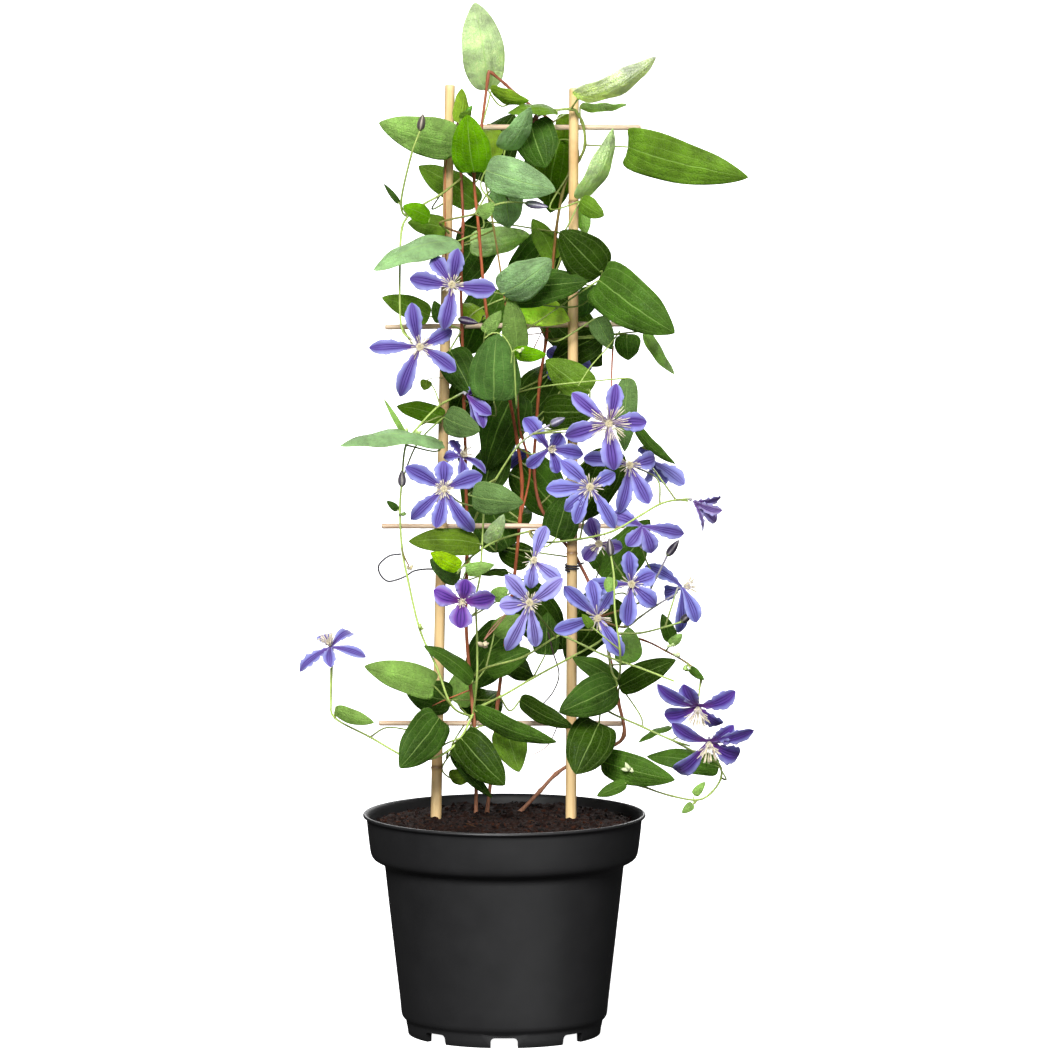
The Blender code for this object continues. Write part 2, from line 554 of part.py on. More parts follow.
def build_pot(target, material):
    """The container: rolled lip, collar, tapered wall, stepped base, with foot notches and drain holes."""
    outside = [
        (POT_RIM_RADIUS - POT_LIP, POT_RIM_HEIGHT + POT_LIP * 0.7),
        (POT_RIM_RADIUS, POT_RIM_HEIGHT),
        (POT_RIM_RADIUS - POT_LIP * 0.5, POT_RIM_HEIGHT - POT_LIP),
        (POT_COLLAR_TOP_RADIUS, POT_RIM_HEIGHT - 2 * POT_LIP),
        (POT_COLLAR_FOOT_RADIUS, POT_COLLAR_FOOT_HEIGHT),
        (POT_COLLAR_FOOT_RADIUS - 2.2 * MM, POT_COLLAR_FOOT_HEIGHT - 3.6 * MM),
        (POT_BODY_TOP_RADIUS, POT_SHOULDER_HEIGHT),
        (POT_BODY_FOOT_RADIUS, POT_STEP_HEIGHT),
        (POT_BASE_RADIUS + 0.8 * MM, POT_STEP_HEIGHT - 6.0 * MM),
        (POT_BASE_RADIUS, 0.0),
    ]
    under = [
        (POT_BASE_RADIUS - FOOT_RING_WIDTH, 0.0),
        (POT_BASE_RADIUS - FOOT_RING_WIDTH - 0.5 * MM, POT_FLOOR_HEIGHT - POT_WALL),
        (0.0, POT_FLOOR_HEIGHT - POT_WALL),
    ]
    profile = outside + under + [(0.0, POT_FLOOR_HEIGHT)] + pot_inside() + outside[:1]
    pot = turned("pot", profile, POT_SIDES, target)
    cutters = workshop("pot_cutters")
    for i in range(FOOT_NOTCHES):
        angle = math.tau * i / FOOT_NOTCHES - math.pi / 2
        bpy.ops.mesh.primitive_cube_add(size=1.0)
        notch = bpy.context.object
        notch.scale = (16.0 * MM, NOTCH_WIDTH, 2 * NOTCH_HEIGHT)
        notch.location = Vector((math.cos(angle), math.sin(angle), 0.0)) * (POT_BASE_RADIUS - 2.0 * MM)
        notch.rotation_euler = (0.0, 0.0, angle)
        move_to(notch, cutters)
    for i in range(DRAIN_HOLES):
        angle = math.tau * (i + 0.5) / DRAIN_HOLES
        bpy.ops.mesh.primitive_cylinder_add(vertices=8, radius=DRAIN_RADIUS, depth=20.0 * MM)
        drain = bpy.context.object
        drain.location = Vector((math.cos(angle), math.sin(angle), 0.0)) * DRAIN_CIRCLE
        move_to(drain, cutters)
    cut(pot, cutters)
    pot.data.materials.clear()
    pot.data.materials.append(material)
    smooth_round(pot)


def move_to(obj, collection):
    """Takes the object out of the collections that it is in and puts it in this one."""
    for old in list(obj.users_collection):
        old.objects.unlink(obj)
    collection.objects.link(obj)


def build_soil(target, material, holes):
    """The soil fills the pot and falls to its wall, with a plain hole for each cane and stem."""
    inside = pot_inside(SOIL_GAP + 0.1 * MM)
    edge = (inside[-1][0] - 0.7 * MM, SOIL_EDGE_HEIGHT)
    profile = [(0.0, SOIL_HEIGHT), (SOIL_RING, SOIL_HEIGHT)]
    profile += [edge] + inside[-2::-1] + [(0.0, inside[0][1])]
    soil = turned("soil", profile, POT_SIDES, target)
    cutters = workshop("soil_cutters")
    for route, radius in holes:
        tube(route, (radius, radius), HOLE_SIDES, cutters)
    cut(soil, cutters)
    soil.data.materials.clear()
    soil.data.materials.append(material)


def cane_line(cane):
    """The cane's foot on the soil and its top."""
    foot = seen_at((*cane["foot"], TRELLIS_NEARNESS))
    top = seen_at((*cane["top"], TRELLIS_NEARNESS))
    return foot, top


def cane_radius(cane, height):
    """The cane's plain radius at this height: it tapers evenly from its buried end to its top."""
    foot, top = cane_line(cane)
    bottom = foot.z - CANE_BURIED
    return CANE_FOOT_RADIUS + (CANE_TOP_RADIUS - CANE_FOOT_RADIUS) * (height - bottom) / (top.z - bottom)


def build_canes(target, material):
    """The two bamboo canes, tapered, with a swollen ring at each node. Returns their holes in the soil."""
    holes = []
    for name, cane in CANES.items():
        foot, top = cane_line(cane)
        along = (top - foot).normalized()
        bottom = foot - along * CANE_BURIED
        route, radii = [bottom], [CANE_FOOT_RADIUS]
        node = foot + along * cane["first_node"]
        while (top - node).dot(along) > 0:
            for offset, swell in ((-4 * MM, 0.0), (0.0, CANE_NODE_SWELL), (3 * MM, -0.1 * MM)):
                route.append(node + along * offset)
                radii.append(cane_radius(cane, node.z) + swell)
            node = node + along * CANE_NODE_SPACING
        route.append(top)
        radii.append(CANE_TOP_RADIUS)
        cane_object = tube(route, radii, CANE_SIDES, target, name)
        cane_object.data.materials.append(material)
        smooth_round(cane_object, 60)
        hole = [bottom - along * CLEARANCE, foot + along * 20.0 * MM]
        holes.append((hole, (CANE_FOOT_RADIUS + HOLE_GAP) / HOLE_FLAT))
    return holes


def build_bars(target, material):
    """The thin split bars that cross just behind the canes."""
    for name, (left, right) in BARS.items():
        height = seen_at((*left, TRELLIS_NEARNESS)).z
        behind = cane_radius(CANES["cane_left"], height) + CLEARANCE + BAR_RADIUS
        ends = [seen_at((*end, TRELLIS_NEARNESS - behind / MM)) for end in (left, right)]
        bar = tube(ends, (BAR_RADIUS, BAR_RADIUS * 0.97), BAR_SIDES, target, name)
        bar.data.materials.append(material)
        smooth_round(bar, 60)


def turn_point(radius, degrees, height):
    """A point on a ring round the upright axis, from the side away from the viewer."""
    angle = math.radians(degrees)
    return Vector((radius * math.sin(angle), radius * math.cos(angle), height))


def build_ties(target, material):
    """The turns of dark tie wire round each cane, with the left one's loose loop and the right one's end."""
    for name, tie in TIES.items():
        cane = CANES[tie["cane"]]
        foot, top = cane_line(cane)
        height = seen_at((MIDDLE_PIXEL, TIE_ROW, TRELLIS_NEARNESS)).z
        centre = foot.lerp(top, (height - foot.z) / (top.z - foot.z))
        ring = cane_radius(cane, height) + CLEARANCE + TIE_RADIUS
        start, end = tie["turns"]
        low, high = tie["climb"]
        steps = round((end - start) / TIE_STEP_DEGREES)
        shares = [i / steps for i in range(steps + 1)]
        route = [centre + turn_point(ring, start + (end - start) * t, low + (high - low) * t) for t in shares]
        if name == "tie_left":
            route = [seen_at(place) for place in LOOSE_LOOP] + route
        else:
            route.append(route[-1] + Vector((3.2, -2.6, 0.6)) * MM)
        wire = tube(route, (TIE_RADIUS, TIE_RADIUS), 4, target, name)
        wire.data.materials.append(material)
        smooth_round(wire, 60)


class Growth:
    """What has grown so far: each shape's surface, its box and the node that it belongs to."""

    def __init__(self):
        self.shapes = []
        self.joints = []

    def note(self, obj, owner, kind):
        """Remembers the object's surface."""
        corners = [vert.co.copy() for vert in obj.data.vertices]
        tree = BVHTree.FromPolygons(corners, [face.vertices for face in obj.data.polygons])
        self.shapes.append((tree, box_of(corners), owner, kind))

    def joints_near(self, point):
        """The stems' joints as (point, stem), nearest to this point first, those below it being preferred."""

        def farness(joint):
            return (joint[0] - point).length + 0.6 * max(0.0, joint[0].z - point.z)

        return sorted(self.joints, key=farness)

    def near(self, points, skip):
        """The shapes whose boxes come near these points' box, but for those that skip(owner, kind) names."""
        low, high = box_of(points)
        for tree, (bottom, top), owner, kind in self.shapes:
            apart = any(low[i] - MM > top[i] or bottom[i] - MM > high[i] for i in range(3))
            if not apart and not skip(owner, kind):
                yield tree, owner

    def blade_fits(self, rows):
        """Whether a blade through these rows keeps its space to everything."""
        points = [point for row in rows for point in row]
        corners = [3 * row + column for row in range(len(rows) - 1) for column in (0, 1)]
        faces = [[first + i for i in half] for first in corners for half in ((0, 1, 4), (0, 4, 3))]
        sheet = BVHTree.FromPolygons(points, faces)
        checks = list(points)
        for apart in (1, 3, 4):
            checks += [a.lerp(b, 0.5) for a, b in zip(points, points[apart:])]
        for tree, _ in self.near(points, lambda owner, kind: False):
            if sheet.overlap(tree) or any(tree.find_nearest(point, LEAF_SPACE)[0] for point in checks):
                return False
        return True

    def tuft_fits(self, work):
        """Whether this tuft's mesh is clear of everything."""
        tree = BVHTree.FromBMesh(work)
        points = [vert.co for vert in work.verts]
        return not any(tree.overlap(other) for other, _ in self.near(points, lambda owner, kind: False))

    def stalk_fits(self, route, owner, meets, strict):
        """Whether a stalk along this route keeps clear of all but the stem that it grows from.

        A strict one keeps clear of its own stem's leaves and stalks too.
        """
        points = []
        for a, b in zip(route, route[1:]):
            pieces = max(2, math.ceil((b - a).length / (1.2 * MM)))
            points += [a.lerp(b, i / pieces) for i in range(pieces)]

        def own(name, kind):
            return name == owner and (kind == "stem" or not strict)

        for tree, other in self.near(points, own):
            space = STALK_RADIUS * 1.2 + (0.2 * MM if other == meets else CLEARANCE)
            if any(tree.find_nearest(point, space)[0] for point in points):
                return False
        return True


def box_of(points):
    """The lowest and the highest corner of these points."""
    return [min(p[i] for p in points) for i in range(3)], [max(p[i] for p in points) for i in range(3)]


def leaf_poses(row):
    """The ways that this leaf may stand, the first being as drawn."""
    base_column, base_row, tip_column, tip_row, nearness, nearer, width, roll = row
    for shift in LEAF_SHIFTS:
        for lean in LEAF_LEANS:
            base = seen_at((base_column, base_row, nearness + shift))
            tip = seen_at((tip_column, tip_row, nearness + shift + nearer + lean))
            yield base, tip, width * MM, roll


def stalk_route(growth, end, into, meets=None):
    """The stalk's route from the nearest joint with a clear way to this end, where it runs along into.

    A straight one is tried first, and then one bent about its middle. Returns the route and the stem.
    """
    for strict in (True, False):
        for joint, owner in growth.joints_near(end - into * 6 * MM)[:NEAREST_JOINTS]:
            if (end - joint).normalized().dot(into) > 0.35:
                if growth.stalk_fits([joint, end], owner, meets, strict):
                    return [joint, end], owner
            for bend in STALK_BENDS:
                back = end - into * (0.45 * (joint - end).length)
                route = [joint, joint.lerp(back, 0.6) + Vector(bend) * MM, end]
                if growth.stalk_fits(route, owner, meets, strict):
                    return route, owner
    return None, None


def stalk_rows(route, rows):
    """The rows of the flat stalk that leads into a leaf: a point in the stem, then narrow ones."""
    face = (rows[0][2] - rows[0][0]).normalized()
    rib = (rows[0][1] - route[-1]).normalized()
    stalk = [[route[0]] * 3]
    for i, place in enumerate(route[1:], start=1):
        onward = (route[i + 1] - place).normalized() if i + 1 < len(route) else rib
        ahead = ((place - route[i - 1]).normalized() + onward).normalized()
        side = face - ahead * face.dot(ahead)
        if side.length < 0.3:
            side = ahead.orthogonal()
        side = side.normalized() * STALK_RADIUS
        stalk.append([place - side, place - side, place + side])
    return stalk


def nearest_on(routes, point):
    """The point of these routes that lies nearest to this one."""
    best = None
    for route in routes:
        for a, b in zip(route, route[1:]):
            share = max(0.0, min(1.0, (point - a).dot(b - a) / (b - a).length_squared))
            place = a.lerp(b, share)
            if best is None or (place - point).length < (best - point).length:
                best = place
    return best


def grow_stems(growth, shapes):
    """The stems with their side shoots and buds. Returns the stems' holes in the soil."""
    holes = []
    for name, stem in STEMS.items():
        shapes[name] = workshop(name + "_shapes")
        main = [seen_at(place) for place in stem["main"]]
        growth.joints += [(point, name) for point in main[2:]]
        down = (main[0] - main[1]).normalized()
        foot = main[0] + down * STEM_BURIED
        hole = [foot + down * CLEARANCE, main[0] - down * 6 * MM]
        holes.append((hole, (STEM_FOOT_RADIUS + HOLE_GAP) / HOLE_FLAT))
        routes = [[foot] + smooth_route(main, STEM_STEP)]
        tube(routes[0], (STEM_FOOT_RADIUS, SHOOT_RADIUS), 5, shapes[name])
        for shoot in stem["shoots"]:
            line = [seen_at(place) for place in shoot]
            line[0] = nearest_on(routes, line[0])
            growth.joints += [(point, name) for point in line[1:-1]]
            routes.append(smooth_route(line, SHOOT_STEP))
            tube(routes[-1], (SHOOT_RADIUS, STALK_RADIUS), 4, shapes[name])
    for base, tip in BUDS:
        base, tip = seen_at(base), seen_at(tip)
        owner = min(growth.joints, key=lambda joint: (joint[0] - base).length)[1]
        along = tip - base
        route = [base - along * 0.1, base + along * 0.35, base + along * 0.75, tip]
        tube(route, (STALK_RADIUS, BUD_RADIUS, BUD_RADIUS * 0.65, 0.3 * MM), 5, shapes[owner])
    for name, collection in shapes.items():
        for shape in collection.objects:
            growth.note(shape, name, "stem")
    return holes


def grow_flower(growth, name, material, tuft_material, target):
    """One flower: its tepals on a small boss, and its tuft. Returns its middle and its facing."""
    place, facing, width, tuft, tips = FLOWERS[name]
    middle = seen_at(place)
    facing = Vector((facing[0], -facing[2], facing[1])).normalized()
    parts = workshop(name + "_shapes")
    bpy.ops.mesh.primitive_ico_sphere_add(subdivisions=1, radius=BOSS_RADIUS)
    boss = bpy.context.object
    boss.data.transform(Matrix.Translation(middle) @ facing.to_track_quat("Z", "Y").to_matrix().to_4x4())
    move_to(boss, parts)
    for column, row, nearer in tips:
        surface = tepal_surface(middle, seen_at((column, row, place[2] + nearer)), width * MM, facing)
        blade(rows_of(surface, TEPAL_ROWS, ribbed=False), TEPAL_THICKNESS, parts)
    growth.note(union_of(name, parts, material, target), name, "flower")
    if tuft:
        made = build_tuft(growth, name.replace("flower", "stamens"), middle, facing, tuft, target)
        made.data.materials.append(tuft_material)
        growth.note(made, name, "tuft")
    return middle, facing


def build_tuft(growth, name, middle, facing, tuft, target):
    """The tuft of stamens: a small head with spikes drawn out of it, held closer where a tepal is near.

    tuft is the spikes' length and how far they spread.
    """
    length, spread = tuft
    seat = Matrix.Translation(middle + facing * (BOSS_RADIUS + CLEARANCE + TUFT_RADIUS))
    seat @= facing.to_track_quat("Z", "Y").to_matrix().to_4x4()
    for share in TUFT_SHARES:
        bpy.ops.mesh.primitive_ico_sphere_add(subdivisions=1, radius=TUFT_RADIUS)
        head = bpy.context.object
        work = bmesh.new()
        work.from_mesh(head.data)
        front = [face for face in work.faces if face.calc_center_median().z > -0.3 * TUFT_RADIUS]
        tips = bmesh.ops.poke(work, faces=front)["verts"]
        for i, tip in enumerate(tips):
            inner = tip.co.z > 0.5 * TUFT_RADIUS
            steep = math.radians(spread * share * (0.45 if inner else 1.0))
            turn = math.atan2(tip.co.y, tip.co.x)
            out = Vector((math.cos(turn), math.sin(turn), 0.0)) * math.sin(steep)
            out.z = math.cos(steep)
            tip.co = out * (length * MM * (1.0 - 0.12 * (i % 3)))
        bmesh.ops.transform(work, matrix=seat, verts=work.verts)
        clear = growth.tuft_fits(work)
        work.to_mesh(head.data)
        work.free()
        if clear or share == TUFT_SHARES[-1]:
            break
        bpy.data.objects.remove(head)
    head.name = head.data.name = name
    move_to(head, target)
    return head


def build_plant(target, leaf_material, tepal_material, tuft_material):
    """The leafy stems, the flowers and their tufts of stamens. Returns the stems' holes in the soil."""
    growth = Growth()
    shapes = {}
    stuck = []
    holes = grow_stems(growth, shapes)
    for obj in target.objects:
        growth.note(obj, obj.name, "fixed")
    seats = {name: grow_flower(growth, name, tepal_material, tuft_material, target) for name in FLOWERS}
    for name, (middle, facing) in seats.items():
        end = middle - facing * (BOSS_RADIUS + CLEARANCE)
        route, owner = stalk_route(growth, end, facing, meets=name)
        if route:
            stalk = tube(route, (STALK_RADIUS * 1.2, STALK_RADIUS), 4, shapes[owner])
            growth.note(stalk, owner, "stalk")
        else:
            stuck.append(name)
    for number, row in enumerate(LEAVES):
        for base, tip, width, roll in leaf_poses(row):
            surface = leaf_surface(base, tip, width, roll)
            rows = rows_of(surface, LEAF_ROWS, ribbed=width > SMALL_LEAF)
            if not growth.blade_fits([[base] * 3] + rows_of(surface, LEAF_ROWS)):
                continue
            route, owner = stalk_route(growth, base, (rows[0][1] - base).normalized())
            if route:
                made = blade(stalk_rows(route, rows) + rows, LEAF_THICKNESS, shapes[owner])
                growth.note(made, owner, "leaf")
                break
        else:
            stuck.append(number)
    print("no room for:", stuck)
    for name in STEMS:
        union_of(name, shapes[name], leaf_material, target)
    return holes


def main():
    for obj in list(bpy.data.objects):
        bpy.data.objects.remove(obj)
    target = workshop("potted_clematis")
    build_pot(target, finish("black_plastic", (0.022, 0.022, 0.023), 0.5))
    cane_holes = build_canes(target, finish("bamboo", (0.78, 0.56, 0.33), 0.55))
    build_bars(target, finish("split_bamboo", (0.72, 0.52, 0.36), 0.65))
    build_ties(target, finish("tie_wire", (0.05, 0.045, 0.05), 0.5))
    leaf = finish("leaf_green", (0.075, 0.19, 0.045), 0.5)
    tepal = finish("tepal_violet", (0.16, 0.13, 0.52), 0.55)
    tuft = finish("stamen_cream", (0.83, 0.78, 0.6), 0.6)
    stem_holes = build_plant(target, leaf, tepal, tuft)
    build_soil(target, finish("peat_soil", (0.045, 0.026, 0.018), 0.95), cane_holes + stem_holes)
    for obj in target.objects:
        obj.location.x = POT_AXIS


main()
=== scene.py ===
# %% [markdown]
# # Potted clematis on a bamboo trellis
#
# A young clematis in flower, sold in a 3 litre nursery pot and tied to two canes with split bars.
# The frame gives every piece its place. This lesson gives each one its real form and finish: the pot and
# the trellis are drawn up ring by ring, the plant is grown from one leaf, one tepal and one stamen.

# %% Frame, sizes and places
import math
import random

import bpy
import numpy as np
from mathutils import Matrix, Vector
from mathutils.bvhtree import BVHTree


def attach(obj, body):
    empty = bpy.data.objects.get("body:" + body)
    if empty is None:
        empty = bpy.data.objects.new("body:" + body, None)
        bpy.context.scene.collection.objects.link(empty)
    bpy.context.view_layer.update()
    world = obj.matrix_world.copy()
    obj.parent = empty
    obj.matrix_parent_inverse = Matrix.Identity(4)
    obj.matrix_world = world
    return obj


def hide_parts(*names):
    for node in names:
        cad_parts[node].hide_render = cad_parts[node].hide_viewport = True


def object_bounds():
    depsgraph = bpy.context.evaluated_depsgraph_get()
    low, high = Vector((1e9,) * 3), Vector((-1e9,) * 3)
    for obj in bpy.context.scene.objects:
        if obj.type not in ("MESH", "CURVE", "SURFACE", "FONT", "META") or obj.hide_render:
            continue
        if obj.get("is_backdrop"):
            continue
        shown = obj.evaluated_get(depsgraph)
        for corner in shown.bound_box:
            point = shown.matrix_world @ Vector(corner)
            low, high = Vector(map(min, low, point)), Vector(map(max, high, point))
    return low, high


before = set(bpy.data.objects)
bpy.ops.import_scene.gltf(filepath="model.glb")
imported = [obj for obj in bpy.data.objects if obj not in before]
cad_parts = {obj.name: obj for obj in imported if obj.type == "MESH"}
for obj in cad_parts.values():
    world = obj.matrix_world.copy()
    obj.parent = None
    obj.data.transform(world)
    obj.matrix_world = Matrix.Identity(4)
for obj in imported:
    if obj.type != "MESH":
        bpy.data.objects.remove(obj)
START_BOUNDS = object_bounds()
random.seed(11)

MM = 0.001

# The photograph's viewpoint, and how its pixels spread.
EYE = Vector((-0.8 * MM, -6.0, 1.018))
EYE_PITCH = math.radians(6.41)
FOCAL_PIXELS = 9019.0
MIDDLE_PIXEL = 525.0
IMAGE_PIXELS = 1050
SENSOR_WIDTH = 36.0

# The pot's upright axis, and where the trellis stands from it.
POT_AXIS = -14.7 * MM
TRELLIS_NEARNESS = -12.0

# A plant place is (column, row, nearness): the pixel of the photograph that it is seen at, and how many
# millimetres it stands in front of the pot's axis.
CANES = {
    "cane_left": {"foot": (436.0, 818.0), "top": (450.0, 85.0), "first_node": 35.0},
    "cane_right": {"foot": (571.0, 818.0), "top": (574.0, 88.0), "first_node": 62.0},
}
BARS = {
    "bar_1_top": ((402.0, 127.0), (641.0, 127.5)),
    "bar_2": ((385.0, 327.0), (629.0, 324.0)),
    "bar_3": ((381.5, 526.0), (625.0, 526.0)),
    "bar_4_foot": ((378.7, 723.0), (622.5, 723.5)),
}
TIE_ROW = 567.0
TIES = {
    "tie_left": {"cane": "cane_left", "turns": (120, 320), "climb": (-1.9, 0.2)},
    "tie_right": {"cane": "cane_right", "turns": (200, 1170), "climb": (-2.4, 2.4)},
}
LOOSE_LOOP = [
    (401, 554, 10), (389, 556, 10), (379, 565, 10), (380, 574, 10), (387, 581, 10), (396, 580, 10),
    (406, 576, 10), (414, 571, 9), (428, 569, 4),
]

# Each stem: its main route, then its side shoots. A route is its tones from its start to its end, and its
# places. The tones are the names in STEM_TONES.
STEMS = {
    "stem_left": [
        (("bark", "red", "red", "brown"), [
            (476, 815, -25), (476, 770, -16), (474, 722, -6), (470, 680, -3), (466, 620, 0),
            (467, 560, 0), (466, 480, 2), (464, 400, 2), (462, 330, 2), (461, 280, 0), (463, 225, -1),
            (461, 170, -1), (459, 128, -1)]),
        (("olive", "green", "young"), [
            (463, 178, -1), (440, 195, 10), (424, 204, 12), (408, 216, 14), (401, 203, 20),
            (411, 156, 36), (420, 131, 40)]),
        (("green", "young", "young"), [
            (408, 216, 14), (402, 228, 17), (400, 260, 22), (401, 325, 26), (412, 340, 28)]),
        (("brown", "olive", "green"), [
            (461, 232, 0), (440, 223, 12), (475, 214, 22), (495, 205, 24), (510, 202, 24),
            (526, 203, 24)]),
        (("young", "young", "young", "green", "young"), [
            (474, 716, -5), (452, 706, 14), (437, 668, 18), (420, 630, 20), (408, 580, 18),
            (402, 548, 18), (400, 510, 18), (402, 480, 18), (406, 445, 18), (420, 425, 20),
            (440, 405, 22), (460, 395, 24)]),
        (("young", "young"), [
            (474, 712, -4), (462, 736, 14), (448, 751, 20), (430, 759, 22), (408, 758, 24),
            (370, 737, 24), (335, 718, 24), (331, 700, 24), (331, 668, 24)]),
        (("young", "young"), [
            (474, 712, -4), (477, 680, 16), (477, 640, 22), (476, 600, 30), (480, 576, 32),
            (482, 546, 32), (484, 508, 32), (485, 495, 32)]),
        (("young", "young", "green"), [
            (474, 708, -4), (500, 697, 14), (533, 678, 22), (566, 660, 28), (594, 645, 32),
            (612, 634, 34), (640, 633, 36), (665, 627, 36), (681, 622, 36)]),
        (("olive", "young", "young"), [
            (470, 680, -3), (486, 668, 14), (523, 657, 26), (556, 637, 36), (566, 637, 38),
            (606, 656, 38), (640, 668, 36), (674, 681, 34)]),
        (("olive", "green", "young", "lilac"), [
            (467, 545, 0), (478, 512, 14), (496, 479, 30), (517, 447, 42), (533, 434, 48),
            (550, 425, 50)]),
    ],
    "stem_middle": [
        (("bark", "red", "red", "red", "brown"), [
            (487, 812, -38), (493, 760, -34), (498, 700, -31), (506, 640, -29), (514, 580, -27),
            (520, 520, -25), (522, 480, -22), (517, 440, -14), (509, 395, -4), (500, 350, 2),
            (489, 325, 4), (484, 290, 4), (479, 232, 4), (474, 172, 3), (481, 130, 2), (487.4, 82, 1), (489, 71.5, 0),
            (492, 73, 0), (505, 84, -2),
            (520, 97, -4), (553, 122, -8)]),
        (("red", "red", "olive"), [
            (520, 520, -25), (530, 470, -22), (520, 430, -10), (517, 395, -2), (511, 340, 6),
            (505, 300, 8), (494, 230, 8), (485, 180, 8)]),
    ],
    "stem_right": [
        (("bark", "bark", "red", "brown", "red", "red", "olive", "green"), [
            (520, 812, -38), (540, 791, -32), (556, 774, -27), (575, 762, -22), (606, 749, -16),
            (624, 735, -10), (618, 700, -8), (611, 665, -8), (604, 630, -12), (592, 590, -20),
            (576, 558, -26), (556, 532, -28), (540, 505, -30), (534, 470, -30), (536, 430, -28),
            (540, 380, -27), (546, 340, -27), (551, 285, -25), (556, 232, -22), (562, 195, -20),
            (570, 172, -20), (579, 160, -17), (585, 145, -12), (583, 124, -9), (577, 113, -5),
            (571, 109, -3), (547, 112, -1), (528, 122, -1)]),
        (("olive", "green"), [
            (613, 678, -8), (601, 705, 6), (643, 727, 24), (672, 740, 30), (690, 746, 32)]),
        (("green", "green", "olive"), [
            (672, 740, 30), (704, 757, 22), (719, 764, 18), (721, 778, 18), (711, 793, 18),
            (697, 800, 18), (672, 796, 20), (650, 789, 20), (636, 782, 20)]),
        (("brown", "brown", "olive"), [
            (604, 630, -12), (643, 640, 14), (666, 651, 22), (687, 663, 24), (701, 676, 24),
            (699, 690, 24)]),
        (("red", "young", "young", "green"), [
            (556, 532, -28), (530, 531, 2), (541, 542, 24), (580, 539, 70), (613, 531, 98),
            (641, 515, 98), (660, 504, 92), (676, 500, 88), (688, 501, 85)]),
        (("young", "young"), [
            (530, 531, 2), (496, 541, 24), (470, 558, 32), (457, 574, 34)]),
        (("olive", "young", "young"), [
            (606, 642, -10), (612, 672, 30), (619, 678, 70), (620, 650, 97), (615, 612, 100.2),
            (614, 577, 100.2), (611, 556, 98)]),
        (("brown", "olive", "lilac"), [
            (600, 615, -14), (640, 602, 20), (655, 580, 44), (667, 556, 46)]),
        (("brown", "olive", "lilac"), [
            (602, 622, -12), (625, 627, 10), (640, 617, 20), (657, 605, 26), (674, 595, 28)]),
    ],
}

# Buds: the places of the base and of the tip, the colour between the ribs and the colour of the ribs.
BUDS = [
    ((420, 131, 40), (423, 114, 40), "#5c5450", "#b4aa94"),
    ((525, 203, 24), (548, 207, 26), "#8f84a8", "#f0ecf4"),
    ((402, 487, 18), (402, 470, 18), "#6f6874", "#bdb8b0"),
    ((681, 622, 36), (692, 613, 36), "#37333a", "#77736c"),
    ((611, 556, 98), (609, 538, 98), "#4e4852", "#bdb6ad"),
    ((667, 556, 46), (679, 540, 46), "#554d5e", "#b5aeb0"),
    ((550, 425, 50), (565, 418, 52), "#77738c", "#c3bfd0"),
    ((458, 319, 8), (478, 323, 10), "#5c4470", "#ddd4dc"),
]

